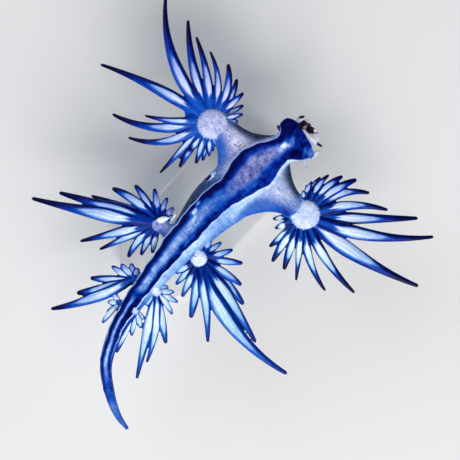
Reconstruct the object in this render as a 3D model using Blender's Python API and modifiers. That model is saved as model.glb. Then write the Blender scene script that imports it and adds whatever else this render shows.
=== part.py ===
"""A blue sea dragon, a surface-drifting sea slug, life size, floating belly up as it does in life.

The frame is in metres with +Z up. The head points to -Y, the sole faces +Z, and the origin
lies under the stand's base, below the middle of the body. Sizes below are in millimetres.
"""

import math
import random

import bmesh
import bpy
from mathutils import Vector

MM = 0.001
GAP = 0.3
SOLE_Z = 12.0
SEED = 7

# The body's ruling sections from the front of the foot to the tail's tip: the distance along
# the back, the middle's place, half the sole's width, half the flanks' width, how far the
# flanks lean to the left, the depth, and how far the section sinks below the sole's level.
BODY = (
    (-0.72, -2.17, -13.08, 1.30, 1.10, 0.00, 0.50, 0.12),
    (-0.5, -2.11, -12.87, 1.95, 1.60, 0.00, 0.58, 0.09),
    (-0.2, -2.04, -12.57, 2.32, 1.92, 0.00, 0.70, 0.06),
    (0.3, -1.92, -12.09, 2.38, 2.00, 0.00, 0.95, 0.02),
    (0.9, -1.83, -11.51, 2.06, 1.80, 0.00, 1.35, 0.00),
    (1.6, -1.64, -10.84, 1.52, 1.62, 0.00, 2.10, 0.00),
    (2.3, -1.44, -10.21, 1.38, 1.64, 0.00, 2.85, 0.00),
    (4.3, -1.00, -8.24, 2.05, 2.40, 0.05, 3.60, 0.00),
    (5.5, -0.81, -7.05, 2.28, 2.75, 0.10, 3.90, 0.00),
    (8.6, -0.52, -3.94, 1.55, 2.85, 0.20, 4.10, 0.00),
    (11.2, -0.12, -1.40, 1.48, 2.60, 0.35, 3.80, 0.00),
    (14.2, -0.16, 1.63, 1.38, 2.05, 0.42, 3.20, 0.00),
    (17.0, -0.22, 4.20, 1.25, 1.62, 0.45, 2.70, 0.00),
    (20.0, -0.49, 7.38, 1.02, 1.32, 0.36, 2.30, 0.00),
    (23.5, -0.91, 10.91, 0.88, 1.02, 0.22, 1.90, 0.05),
    (27.2, -1.73, 14.39, 0.68, 0.76, 0.10, 1.50, 0.15),
    (30.5, -3.39, 17.35, 0.55, 0.60, 0.00, 1.25, 0.40),
    (33.7, -5.85, 19.29, 0.53, 0.55, 0.00, 1.05, 0.80),
    (36.0, -7.90, 20.24, 0.40, 0.42, 0.00, 0.80, 1.15),
    (37.2, -9.02, 20.62, 0.14, 0.16, 0.00, 0.35, 1.40),
)
SOLE_DISH = 0.12
LIP = 0.28

# Each length of the body: its name, where it starts and ends along the back, and the step
# between its rings.
LENGTHS = (
    ("foot_front", -0.72, 1.6, 0.3),
    ("torso_front", 1.6, 8.4, 0.85),
    ("torso_middle", 8.4, 14.4, 1.0),
    ("torso_rear", 14.4, 20.2, 1.0),
    ("tail_base", 20.2, 26.2, 1.0),
    ("tail_middle", 26.2, 31.8, 0.9),
    ("tail_tip", 31.8, 37.2, 0.8),
)

# Each arm: where it starts inside the body and where its neck meets the hub, the neck's half
# width and half depth, and how much wider its root spreads towards the head and the tail,
# each with the power that the spread falls off by.
ARMS = {
    "front_right": {
        "root": (-0.5, -7.6), "neck": (4.7, -7.9), "neck_half": 1.43, "depth": 0.75,
        "head_flare": (3.0, 2.7), "tail_flare": (6.8, 2.3),
    },
    "front_left": {
        "root": (-1.0, -6.6), "neck": (-6.7, -7.15), "neck_half": 1.28, "depth": 0.75,
        "head_flare": (5.2, 2.0), "tail_flare": (7.0, 2.2),
    },
    "middle_right": {
        "root": (-0.2, 3.3), "neck": (2.1, 3.40), "neck_half": 0.72, "depth": 0.50,
        "head_flare": (2.0, 2.4), "tail_flare": (1.2, 2.4),
    },
    "middle_left": {
        "root": (-0.2, 3.1), "neck": (-2.4, 3.25), "neck_half": 0.80, "depth": 0.50,
        "head_flare": (3.2, 2.4), "tail_flare": (1.4, 2.4),
    },
}
ARM_ROOT_DEPTH = 1.35
ARM_DEPTH_POWER = 2.2
ARM_STEPS = 9
ARM_SIDES = 16

# Each cluster of cerata round its white hub: the side (+1 is the animal's right), the hub's
# place and radius, how far it lies below the sole, how plump its cerata are, their count,
# and the key ones as (number, sweep in degrees from straight outwards, positive towards the
# head, reach from the hub's middle, sideways bow of its path, positive towards the head).
CLUSTERS = {
    "front_right": {
        "side": 1, "hub": (5.54, -7.60), "radius": 1.45, "below": 1.25, "plump": 1.0, "count": 22,
        "keys": (
            (0, -144, 2.5, 0.0), (4, -112, 4.4, 0.0), (5, -97, 5.5, 0.1), (6, -91, 4.8, -0.3),
            (7, -86, 7.6, 0.0), (8, -53, 8.5, -1.1), (9, -38, 10.0, -0.9), (10, -37, 6.7, -0.3),
            (11, -15, 12.6, 0.4), (12, 27, 13.7, -1.4), (13, 34, 10.7, -0.5), (14, 37, 8.8, 0.1),
            (15, 46, 7.2, 0.7), (16, 63, 6.1, 0.6), (18, 94, 4.4, 0.2), (21, 134, 2.7, 0.0),
        ),
    },
    "front_left": {
        "side": -1, "hub": (-7.54, -7.18), "radius": 1.45, "below": 1.25, "plump": 1.0, "count": 22,
        "keys": (
            (0, -144, 2.4, 0.0), (2, -110, 3.3, 0.0), (3, -93, 4.7, 0.1), (4, -80, 5.7, -0.1),
            (5, -66, 5.9, -0.1), (6, -53, 6.7, 0.0), (7, -31, 8.0, -0.6), (8, -14, 9.4, -0.5),
            (9, 11, 13.7, -0.1), (10, 33, 13.3, -0.8), (11, 41, 11.6, -0.1), (12, 46, 8.5, 0.7),
            (13, 61, 7.0, 0.9), (14, 76, 6.4, 0.4), (17, 108, 4.1, 0.4), (21, 144, 2.1, 0.0),
        ),
    },
    "middle_right": {
        "side": 1, "hub": (2.53, 3.45), "radius": 0.75, "below": 1.15, "plump": 1.18, "count": 14,
        "keys": (
            (0, -121, 3.1, 0.0), (2, -91, 4.6, 0.3), (3, -67, 6.5, 0.0), (4, -56, 8.1, 0.0),
            (5, -32, 12.95, -0.2), (6, -26, 10.4, 0.0), (7, -21, 7.3, 0.1), (8, -6, 5.8, 0.3),
            (9, 15, 4.5, 0.1), (11, 66, 2.7, 0.0), (13, 115, 1.9, 0.0),
        ),
    },
    "middle_left": {
        "side": -1, "hub": (-2.91, 3.29), "radius": 0.85, "below": 1.15, "plump": 1.18, "count": 16,
        "keys": (
            (0, -132, 1.8, 0.0), (4, -71, 4.2, 0.0), (5, -55, 6.0, 0.1), (6, -41, 8.4, 0.2),
            (7, -10, 14.5, -1.4), (8, -13, 10.1, 0.2), (9, -3, 6.4, 0.2), (10, 11, 5.0, 0.1),
            (11, 37, 4.4, 0.0), (13, 79, 2.8, 0.0), (15, 121, 2.0, 0.0),
        ),
    },
    "rear_right": {
        "side": 1, "hub": (0.48, 9.24), "radius": 0.50, "below": 0.95, "plump": 1.1, "count": 7,
        "keys": (
            (0, -63, 8.85, -0.4), (1, -57, 5.9, -0.2), (2, -42, 4.4, -0.1), (3, -13, 2.6, 0.0),
            (6, 67, 1.4, 0.0),
        ),
    },
    "rear_left": {
        "side": -1, "hub": (-2.03, 8.62), "radius": 0.52, "below": 0.95, "plump": 1.1, "count": 8,
        "keys": (
            (0, -82, 1.8, 0.0), (1, -60, 9.0, 0.0), (2, -55, 7.2, 0.4), (3, -37, 5.3, 0.0),
            (4, -13, 2.8, 0.1), (7, 66, 1.4, 0.0),
        ),
    },
    "hind_right": {
        "side": 1, "hub": (-0.17, 11.95), "radius": 0.40, "below": 1.10, "plump": 1.1, "count": 4,
        "keys": ((0, -91, 2.7, 0.0), (1, -76, 1.7, 0.0), (3, 10, 1.2, 0.0)),
    },
    "hind_left": {
        "side": -1, "hub": (-1.80, 11.45), "radius": 0.40, "below": 1.10, "plump": 1.1, "count": 4,
        "keys": ((0, -72, 4.7, -0.1), (1, -57, 2.6, 0.0), (3, -5, 1.2, 0.0)),
    },
}
HUB_FLATNESS = 0.55
CERAS_WIDTH = 0.32
CERAS_WIDTH_PER_REACH = 0.088
CERAS_LEAST_WIDTH = 0.56
CERAS_FLATNESS = 0.85
CERAS_PROFILE = (
    (0.00, 0.56), (0.16, 0.80), (0.36, 0.95), (0.54, 0.80), (0.72, 0.54), (0.90, 0.33), (1.00, 0.20),
)
CERAS_SHORT_PROFILE = ((0.00, 0.62), (0.30, 0.94), (0.55, 0.94), (0.80, 0.68), (1.00, 0.32))
LONG_REACH = 6.5

HEADING = Vector((-0.236, -0.971, 0.0)).normalized()
HEAD_MIDDLE = Vector((-1.98, -12.25, SOLE_Z - 1.95))
HEAD_HALF = (1.52, 2.05, 1.35)
MOUTH_MIDDLE = HEAD_MIDDLE + HEADING * 1.50 + Vector((0.22, 0.0, 0.62))
MOUTH_TILT = 38
MOUTH_RADIUS = 0.56
LIP_RADIUS = 0.27
MOUTH_STRETCH = 1.28

STAND_LENGTH = 21.0
STAND_WIDTH = 10.0
STAND_THICKNESS = 2.0
ROD_RADIUS = 0.7
ROD_STATIONS = {"front": 7.6, "rear": 17.4}


def hermite(rows, at):
    """Every column of the rows, read off a smooth curve at a value of the first column."""
    at = min(max(at, rows[0][0]), rows[-1][0])
    i = max(k for k in range(len(rows) - 1) if rows[k][0] <= at)
    low, high = rows[i], rows[i + 1]
    before, after = rows[max(i - 1, 0)], rows[min(i + 2, len(rows) - 1)]
    span = high[0] - low[0]
    t = (at - low[0]) / span
    found = []
    for c in range(1, len(low)):
        slope_in = (high[c] - before[c]) / (high[0] - before[0]) * span
        slope_out = (after[c] - low[c]) / (after[0] - low[0]) * span
        found.append(
            (2 * t**3 - 3 * t**2 + 1) * low[c]
            + (t**3 - 2 * t**2 + t) * slope_in
            + (3 * t**2 - 2 * t**3) * high[c]
            + (t**3 - t**2) * slope_out
        )
    return found


def mesh_object(name, bm):
    """A new object from a bmesh in millimetres, brought to metres with its faces outwards."""
    bmesh.ops.recalc_face_normals(bm, faces=bm.faces)
    bmesh.ops.scale(bm, vec=(MM, MM, MM), verts=bm.verts)
    mesh = bpy.data.meshes.new(name)
    bm.to_mesh(mesh)
    bm.free()
    obj = bpy.data.objects.new(name, mesh)
    bpy.context.scene.collection.objects.link(obj)
    return obj


def loft(name, rings, pointed=None):
    """A closed skin over rings of points, each end closed by a fan or drawn to a point."""
    bm = bmesh.new()
    rows = [[bm.verts.new(p) for p in ring] for ring in rings]
    count = len(rows[0])
    for low, high in zip(rows, rows[1:]):
        for k in range(count):
            j = (k + 1) % count
            bm.faces.new((low[k], low[j], high[j], high[k]))
    for row, tip in ((rows[0], None), (rows[-1], pointed)):
        middle = tip or sum((v.co for v in row), Vector()) / count
        centre = bm.verts.new(middle)
        for k in range(count):
            bm.faces.new((row[k], row[(k + 1) % count], centre))
    bmesh.ops.triangulate(bm, faces=bm.faces)
    return mesh_object(name, bm)


def body_frame(at):
    """The middle of the sole, the way to the animal's right, and the section's sizes."""
    x, y, sole, flank, lean, depth, sunk = hermite(BODY, at)
    step = 0.05
    ahead, behind = hermite(BODY, at + step), hermite(BODY, at - step)
    along = Vector((ahead[0] - behind[0], ahead[1] - behind[1], 0.0)).normalized()
    across = Vector((along.y, -along.x, 0.0))
    return Vector((x, y, SOLE_Z - sunk)), across, (sole, flank, lean, depth)


def section(at, grow):
    """One ring round the body: the dished sole, its thin lip, and the rounded flanks."""
    middle, across, (sole, flank, lean, depth) = body_frame(at)
    lip = min(LIP, 0.4 * depth)
    half = [
        (0.52 * sole, grow - 0.6 * SOLE_DISH * sole),
        (0.88 * sole, grow),
        (sole + grow, -0.35 * lip),
        (0.93 * sole + grow, -lip),
        (0.5 * (0.9 * sole + flank) + 0.06 + grow, -lip - 0.10 * depth),
        (flank + grow, -lip - 0.30 * depth),
        (0.86 * flank + grow, -0.68 * depth - 0.5 * grow),
        (0.46 * flank + 0.4 * grow, -0.94 * depth - grow),
    ]
    leans = [0.0, 0.0, 0.0, 0.0, 0.5, 0.9, 1.0, 1.0]
    ring = [middle + Vector((0.0, 0.0, grow - SOLE_DISH * sole))]
    for (out, up), share in zip(half, leans):
        ring.append(middle + across * (out - share * lean) + Vector((0.0, 0.0, up)))
    ring.append(middle - across * lean + Vector((0.0, 0.0, -depth - grow)))
    for (out, up), share in reversed(list(zip(half, leans))):
        ring.append(middle - across * (out + share * lean) + Vector((0.0, 0.0, up)))
    return ring


def body_length(name, start, end, step, grow=0.0):
    """The body from one distance along the back to another, as one closed piece."""
    steps = max(2, round((end - start) / step))
    stations = [start + (end - start) * k / steps for k in range(steps + 1)]
    return loft(name, [section(at, grow) for at in stations])


def hub_middle(cluster):
    return Vector((*cluster["hub"], SOLE_Z - cluster["below"]))


def arm(name, spec, cluster, grow=0.0):
    """A flattened limb from inside the body to the hub, spread wide where it leaves the flank."""
    root = Vector((*spec["root"], SOLE_Z - ARM_ROOT_DEPTH - LIP))
    neck = Vector((*spec["neck"], hub_middle(cluster).z))
    out = (neck - root).normalized()
    headward = Vector((-cluster["side"] * out.y, cluster["side"] * out.x, 0.0)).normalized() * -1
    up = Vector((0.0, 0.0, 1.0))
    rings = []
    for k in range(ARM_STEPS + 1):
        t = k / ARM_STEPS
        high = spec["depth"] + (ARM_ROOT_DEPTH - spec["depth"]) * (1 - t) ** ARM_DEPTH_POWER + grow
        sides = []
        for flare, power in (spec["head_flare"], spec["tail_flare"]):
            sides.append(spec["neck_half"] + flare * (1 - t) ** power + grow)
        middle = root + (neck - root) * t + headward * (sides[0] - sides[1]) / 2
        half = (sides[0] + sides[1]) / 2
        angles = [2 * math.pi * j / ARM_SIDES for j in range(ARM_SIDES)]
        rings.append(
            [middle + headward * (half * math.cos(a)) + up * (high * math.sin(a)) for a in angles]
        )
    return loft(name, rings)


def ellipsoid(name, middle, half, turn=0.0, grow=0.0, segments=16, rings=10):
    """A ball stretched to three half sizes, turned about the upright, in millimetres."""
    bm = bmesh.new()
    bmesh.ops.create_uvsphere(bm, u_segments=segments, v_segments=rings, radius=1.0)
    for v in bm.verts:
        x, y, z = (c * (h + grow) for c, h in zip(v.co, half))
        c, s = math.cos(turn), math.sin(turn)
        v.co = Vector((c * x - s * y, s * x + c * y, z)) + middle
    bmesh.ops.triangulate(bm, faces=bm.faces)
    return mesh_object(name, bm)


def tapered(name, path, widths, sides, flatness=1.0):
    """A spindle along a path, round or flattened, that ends in a point."""
    up = Vector((0.0, 0.0, 1.0))
    rings = []
    for k, (point, width) in enumerate(zip(path[:-1], widths)):
        along = (path[k + 1] - path[max(k - 1, 0)]).normalized()
        across = along.cross(up).normalized()
        rise = across.cross(along)
        angles = [2 * math.pi * j / sides for j in range(sides)]
        rings.append(
            [
                point
                + across * (0.5 * width * math.cos(a))
                + rise * (0.5 * width * flatness * math.sin(a))
                for a in angles
            ]
        )
    return loft(name, rings, pointed=path[-1])


def sweep_direction(side, degrees):
    """The level direction at an angle from straight outwards, positive towards the head."""
    a = math.radians(degrees)
    return Vector((side * math.cos(a), -math.sin(a), 0.0))


def fan_rows(cluster):
    """The sweep, reach and bow of every ceras, filled in between the key ones."""
    keys = cluster["keys"]
    rows = []
    for number in range(cluster["count"]):
        low = max(k for k in keys if k[0] <= number)
        high = min(k for k in keys if k[0] >= number)
        share = 0.0 if low[0] == high[0] else (number - low[0]) / (high[0] - low[0])
        rows.append([a + (b - a) * share for a, b in zip(low[1:], high[1:])])
    return rows


def ceras_path(hub, side, radius, root_sweep, row, lift, droop):
    """The path from inside the hub to the tip, bowed sideways, and down by the droop."""
    sweep, reach, bow = row
    root = hub + sweep_direction(side, root_sweep) * (0.55 * radius)
    root.z += lift
    tip = hub + sweep_direction(side, sweep) * reach
    tip.z += lift - droop
    chord = tip - root
    aside = sweep_direction(side, math.degrees(math.atan2(-chord.y, side * chord.x)) + 90)
    control = (root + tip) / 2 + aside * (2 * bow) + Vector((0.0, 0.0, 0.05 * reach))
    return lambda t: root * (1 - t) ** 2 + control * (2 * t * (1 - t)) + tip * t**2


def cerata(cluster, name, draw):
    """The hub and its whole fan, fused into one closed piece."""
    hub = hub_middle(cluster)
    radius = cluster["radius"]
    pieces = []
    rows = fan_rows(cluster)
    first, last = rows[0][0], rows[-1][0]
    for number, row in enumerate(rows):
        even = first + (last - first) * number / (len(rows) - 1)
        root_sweep = 0.5 * (even + row[0])
        reach = row[1]
        lift = -0.18 * radius * (number % 2) + draw.uniform(-0.05, 0.05) - 0.05
        droop = draw.uniform(0.03, 0.13) * reach
        path = ceras_path(hub, cluster["side"], radius, root_sweep, row, lift, droop)
        width = max(CERAS_WIDTH + CERAS_WIDTH_PER_REACH * reach, CERAS_LEAST_WIDTH)
        profile = CERAS_PROFILE if reach > LONG_REACH else CERAS_SHORT_PROFILE
        points = [path(t) for t, _ in profile] + [path(1.02)]
        widths = [width * cluster["plump"] * share for _, share in profile]
        sides = 8 if reach > LONG_REACH else 6
        pieces.append(tapered("ceras", points, widths, sides, CERAS_FLATNESS))
    half = (radius, radius, radius * HUB_FLATNESS)
    return boolean(ellipsoid(name, hub, half), pieces, "UNION")


def boolean(obj, others, operation):
    """Joins the others to the object or cuts them from it, and removes them."""
    group = bpy.data.collections.new("helpers")
    bpy.context.scene.collection.children.link(group)
    for other in others:
        group.objects.link(other)
    modifier = obj.modifiers.new(operation.title(), "BOOLEAN")
    modifier.operation = operation
    modifier.operand_type = "COLLECTION"
    modifier.collection = group
    modifier.solver = "EXACT"
    bpy.context.view_layer.objects.active = obj
    bpy.ops.object.modifier_apply(modifier=modifier.name)
    for other in others:
        bpy.data.objects.remove(other)
    bpy.data.collections.remove(group)
    keep_largest(obj)
    return obj


def keep_largest(obj):
    """Leaves only the largest closed surface of an object."""
    bm = bmesh.new()
    bm.from_mesh(obj.data)
    bmesh.ops.triangulate(bm, faces=bm.faces)
    left = set(bm.faces)
    shells = []
    while left:
        shell, edge = set(), [left.pop()]
        while edge:
            face = edge.pop()
            shell.add(face)
            near = {f for e in face.edges for f in e.link_faces} & left
            left -= near
            edge.extend(near)
        shells.append(shell)
    shells.sort(key=lambda shell: sum(f.calc_area() for f in shell))
    spare = [f for shell in shells[:-1] for f in shell]
    bmesh.ops.delete(bm, geom=spare, context="FACES")
    bm.to_mesh(obj.data)
    bm.free()


def material(name, colour, roughness, metallic=0.0):
    made = bpy.data.materials.new(name)
    made.use_nodes = True
    shader = made.node_tree.nodes["Principled BSDF"]
    shader.inputs["Base Color"].default_value = (*colour, 1.0)
    shader.inputs["Roughness"].default_value = roughness
    shader.inputs["Metallic"].default_value = metallic
    made.diffuse_color = (*colour, 1.0)
    return made


def finish(obj, made, collection):
    """Gives a piece its material and puts it in the model's collection."""
    obj.data.materials.clear()
    obj.data.materials.append(made)
    for old in list(obj.users_collection):
        old.objects.unlink(obj)
    collection.objects.link(obj)
    obj.data.set_sharp_from_angle(angle=math.radians(50))


def whole_body_cutter():
    return body_length("body_cutter", BODY[0][0], BODY[-1][0], 0.4, grow=GAP)


def make_body(skin, collection):
    for name, start, end, step in LENGTHS:
        first = start if start == BODY[0][0] else start + GAP / 2
        last = end if end == BODY[-1][0] else end - GAP / 2
        finish(body_length(name, first, last, step), skin, collection)


def make_arms(skin, collection):
    for name, spec in ARMS.items():
        limb = arm(f"arm_{name}", spec, CLUSTERS[name])
        finish(boolean(limb, [whole_body_cutter()], "DIFFERENCE"), skin, collection)


def make_cerata(skin, collection):
    draw = random.Random(SEED)
    for name, cluster in CLUSTERS.items():
        fan = cerata(cluster, f"cerata_{name}", draw)
        cutters = [whole_body_cutter()]
        if name in ARMS:
            cutters.append(arm("arm_cutter", ARMS[name], cluster, grow=GAP))
        finish(boolean(fan, cutters, "DIFFERENCE"), skin, collection)


def mouth_ring(name, grow=0.0):
    """The lips: a ring round the mouth, wider across the head, tipped towards the front."""
    bpy.ops.mesh.primitive_torus_add(
        major_segments=20, minor_segments=10, major_radius=MOUTH_RADIUS,
        minor_radius=LIP_RADIUS + grow,
    )
    ring = bpy.context.object
    ring.name = name
    bm = bmesh.new()
    bm.from_mesh(ring.data)
    bpy.data.objects.remove(ring)
    tilt = math.radians(MOUTH_TILT)
    right = Vector((-HEADING.y, HEADING.x, 0.0))
    normal = HEADING * math.sin(tilt) + Vector((0.0, 0.0, math.cos(tilt)))
    back = right.cross(normal)
    for v in bm.verts:
        v.co = MOUTH_MIDDLE + right * (v.co.x * MOUTH_STRETCH) + back * v.co.y + normal * v.co.z
    bmesh.ops.triangulate(bm, faces=bm.faces)
    return mesh_object(name, bm)


def feeler(name, root, tip, width, tip_share, grow=0.0):
    """A short blunt feeler from inside the head outwards."""
    path = [root + (tip - root) * t for t in (0.0, 0.35, 0.7, 0.93, 1.0)]
    widths = [width + 2 * grow, width * 0.92 + 2 * grow, width * 0.8 + 2 * grow, width * tip_share]
    return tapered(name, path, widths, 8)


def make_head(skin, pale, dark, collection):
    turn = math.atan2(HEADING.x, -HEADING.y)
    head = ellipsoid("head", HEAD_MIDDLE, HEAD_HALF, turn, segments=24, rings=16)
    level = HEAD_MIDDLE.z
    feelers = {
        "oral_tentacle_right": ((-1.5, -12.9, level + 0.5), (-0.55, -14.2, level + 0.75), 0.55),
        "oral_tentacle_left": ((-3.1, -12.7, level + 0.5), (-4.15, -13.3, level + 0.75), 0.55),
        "rhinophore_right": ((-1.2, -11.6, level - 0.7), (0.55, -12.1, level - 1.5), 0.6),
        "rhinophore_left": ((-2.6, -11.4, level - 0.7), (-4.6, -10.9, level - 1.5), 0.6),
    }
    cutters = [whole_body_cutter(), mouth_ring("ring_cutter", grow=GAP)]
    hollow = ellipsoid("hollow", MOUTH_MIDDLE, (0.62, 0.42, 0.75), turn)
    cutters.append(hollow)
    head = boolean(head, cutters, "DIFFERENCE")
    for name, (root, tip, width) in feelers.items():
        piece = feeler(name, Vector(root), Vector(tip), width, 0.5)
        bulb = ellipsoid("head_cutter", HEAD_MIDDLE, HEAD_HALF, turn, grow=GAP, segments=24, rings=16)
        piece = boolean(piece, [bulb, whole_body_cutter()], "DIFFERENCE")
        finish(piece, dark, collection)
    finish(head, skin, collection)
    lips = boolean(mouth_ring("lips"), [whole_body_cutter()], "DIFFERENCE")
    finish(lips, pale, collection)


def make_papilla(skin, collection):
    """The small anal papilla on the right flank, between the first two arms."""
    middle = Vector((1.98, -3.2, SOLE_Z - 1.35))
    bump = ellipsoid("anal_papilla", middle, (0.42, 0.85, 0.45), math.radians(-8), segments=12, rings=8)
    cutters = [whole_body_cutter(), arm("arm_cutter", ARMS["front_right"], CLUSTERS["front_right"], GAP)]
    finish(boolean(bump, cutters, "DIFFERENCE"), skin, collection)


def make_stand(base_finish, rod_finish, collection):
    """A low base with round ends, and two rods up to the back of the animal."""
    bm = bmesh.new()
    radius = STAND_WIDTH / 2
    run = STAND_LENGTH / 2 - radius
    corners = 24
    outline = []
    for end in (1, -1):
        for k in range(corners + 1):
            a = math.pi * k / corners + (0 if end == 1 else math.pi)
            outline.append((radius * math.cos(a), end * run + radius * math.sin(a)))
    face = bm.faces.new([bm.verts.new((x, y, 0.0)) for x, y in outline])
    grown = bmesh.ops.extrude_face_region(bm, geom=[face])
    lifted = [v for v in grown["geom"] if isinstance(v, bmesh.types.BMVert)]
    bmesh.ops.translate(bm, vec=(0.0, 0.0, STAND_THICKNESS), verts=lifted)
    base = mesh_object("stand_base", bm)
    bevel = base.modifiers.new("rounded_edge", "BEVEL")
    bevel.width = 0.3 * MM
    bevel.segments = 2
    bevel.limit_method = "ANGLE"
    finish(base, base_finish, collection)
    for name, at in ROD_STATIONS.items():
        middle, across, (_, _, lean, depth) = body_frame(at)
        foot = middle - across * lean
        low, high = STAND_THICKNESS + GAP, foot.z - 0.5 * depth
        bm = bmesh.new()
        bmesh.ops.create_cone(
            bm, cap_ends=True, segments=20, radius1=ROD_RADIUS, radius2=ROD_RADIUS, depth=high - low
        )
        bmesh.ops.translate(bm, vec=(foot.x, foot.y, (low + high) / 2), verts=bm.verts)
        bmesh.ops.triangulate(bm, faces=bm.faces)
        rod = mesh_object(f"stand_rod_{name}", bm)
        finish(boolean(rod, [whole_body_cutter()], "DIFFERENCE"), rod_finish, collection)


def main():
    for old in list(bpy.data.objects):
        bpy.data.objects.remove(old)
    collection = bpy.data.collections.new("blue_sea_dragon")
    bpy.context.scene.collection.children.link(collection)
    blue = material("blue_skin", (0.02, 0.05, 0.30), 0.35)
    silver = material("silver_blue_skin", (0.42, 0.58, 0.90), 0.35)
    pale = material("pale_lip", (0.80, 0.80, 0.85), 0.4)
    brown = material("brown_feeler", (0.10, 0.05, 0.05), 0.4)
    opal = material("opal_acrylic", (0.85, 0.86, 0.86), 0.25)
    steel = material("polished_steel", (0.60, 0.61, 0.62), 0.25, 1.0)
    make_body(blue, collection)
    make_arms(silver, collection)
    make_cerata(silver, collection)
    make_head(silver, pale, brown, collection)
    make_papilla(silver, collection)
    make_stand(opal, steel, collection)


main()
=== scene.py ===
"""Dresses the blue sea dragon: one wet skin over all its flesh, its stand, and a plain stage.

Lengths in this file are millimetres in the model's own frame: the head points to -Y, +X is the
animal's right, the upturned sole faces +Z, and the floor is at 0. The skin is scaled to metres
when it is done.

The flesh is gathered as closed forms, rings of points round each limb, which a voxel remesh fuses
into one skin. Its grooves are then smoothed, and each of its points gets the named paints that the
skin's material turns into colours.
"""

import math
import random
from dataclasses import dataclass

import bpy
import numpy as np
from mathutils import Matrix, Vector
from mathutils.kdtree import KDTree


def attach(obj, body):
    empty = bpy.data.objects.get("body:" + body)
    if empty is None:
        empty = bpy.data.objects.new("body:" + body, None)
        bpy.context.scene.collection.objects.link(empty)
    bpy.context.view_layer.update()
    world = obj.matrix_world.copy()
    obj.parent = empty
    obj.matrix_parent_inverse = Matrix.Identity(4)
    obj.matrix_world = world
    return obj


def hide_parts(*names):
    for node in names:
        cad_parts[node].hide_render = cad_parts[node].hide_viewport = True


bl_info = {
    "name": "Blue Sea Dragon",
    "version": (1, 0, 0),
    "blender": (4, 5, 0),
    "location": "3D View > Sidebar > Sea Dragon",
    "description": "Builds the skin, stand and stage of a life-size blue sea dragon model",
    "category": "Object",
}

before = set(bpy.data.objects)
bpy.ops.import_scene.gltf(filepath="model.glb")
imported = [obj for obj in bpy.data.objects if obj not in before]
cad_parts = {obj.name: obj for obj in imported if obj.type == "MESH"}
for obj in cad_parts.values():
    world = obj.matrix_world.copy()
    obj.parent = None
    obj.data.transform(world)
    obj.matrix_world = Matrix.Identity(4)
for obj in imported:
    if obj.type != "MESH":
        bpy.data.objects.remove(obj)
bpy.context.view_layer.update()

MM = 0.001
SOLE_Z = 12.0
UP = np.array((0.0, 0.0, 1.0))
BODY_NODE = "root"

# The body's ruling sections from the front of the foot to the tail's tip: the distance along
# the back, the middle's place, half the sole's width, half the flanks' width, how far the
# flanks lean to the left, the depth, and how far the section sinks below the sole's level.
BODY = (
    (-0.72, -2.17, -13.08, 1.30, 1.10, 0.00, 0.50, 0.12),
    (-0.5, -2.11, -12.87, 1.95, 1.60, 0.00, 0.58, 0.09),
    (-0.2, -2.04, -12.57, 2.32, 1.92, 0.00, 0.70, 0.06),
    (0.3, -1.92, -12.09, 2.38, 2.00, 0.00, 0.95, 0.02),
    (0.9, -1.83, -11.51, 2.06, 1.80, 0.00, 1.35, 0.00),
    (1.6, -1.64, -10.84, 1.52, 1.62, 0.00, 2.10, 0.00),
    (2.3, -1.44, -10.21, 1.38, 1.64, 0.00, 2.85, 0.00),
    (4.3, -1.00, -8.24, 2.05, 2.40, 0.05, 3.60, 0.00),
    (5.5, -0.81, -7.05, 2.28, 2.75, 0.10, 3.90, 0.00),
    (8.6, -0.52, -3.94, 1.55, 2.85, 0.20, 4.10, 0.00),
    (11.2, -0.12, -1.40, 1.48, 2.60, 0.35, 3.80, 0.00),
    (14.2, -0.16, 1.63, 1.38, 2.05, 0.42, 3.20, 0.00),
    (17.0, -0.22, 4.20, 1.25, 1.62, 0.45, 2.70, 0.00),
    (20.0, -0.49, 7.38, 1.02, 1.32, 0.36, 2.30, 0.00),
    (23.5, -0.91, 10.91, 0.88, 1.02, 0.22, 1.90, 0.05),
    (27.2, -1.73, 14.39, 0.68, 0.76, 0.10, 1.50, 0.15),
    (30.5, -3.32, 17.43, 0.55, 0.60, 0.00, 1.25, 0.40),
    (33.7, -5.72, 19.44, 0.45, 0.48, 0.00, 1.05, 0.80),
    (36.0, -7.77, 20.50, 0.30, 0.32, 0.00, 0.80, 1.15),
    (37.5, -9.38, 20.82, 0.14, 0.16, 0.00, 0.38, 1.40),
)
# How hollow the sole is as a share of its half width, and how thick the foot's thin edge is.
SOLE_DISH = 0.06
FOOT_EDGE = 0.28

# The silvery band along the sole: the distance along the back, the band's middle and half its
# width as shares of half the sole, positive to the animal's right, and how bright it is.
BAND = (
    (-0.72, -0.30, 0.30, 0.18),
    (0.3, -0.30, 0.35, 0.20),
    (1.1, 0.00, 0.30, 0.30),
    (1.8, 0.06, 0.34, 0.60),
    (2.5, 0.10, 0.44, 0.62),
    (4.0, 0.12, 0.48, 0.60),
    (5.5, 0.08, 0.48, 0.58),
    (8.6, -0.02, 0.46, 0.53),
    (11.2, 0.02, 0.46, 0.58),
    (13.2, 0.02, 0.44, 0.68),
    (17.0, -0.02, 0.42, 0.72),
    (20.0, -0.04, 0.42, 0.71),
    (22.0, -0.04, 0.42, 0.70),
    (22.7, -0.02, 0.40, 0.28),
    (23.3, 0.05, 0.22, 0.58),
    (24.5, 0.10, 0.18, 0.70),
    (27.2, 0.04, 0.24, 0.76),
    (29.8, 0.00, 0.36, 0.76),
    (31.5, -0.02, 0.40, 0.64),
    (32.5, -0.02, 0.50, 0.40),
    (34.0, -0.05, 0.60, 0.44),
    (35.2, 0.00, 0.80, 0.58),
    (36.4, 0.00, 0.80, 0.44),
    (37.4, 0.00, 0.80, 0.36),
)
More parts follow.
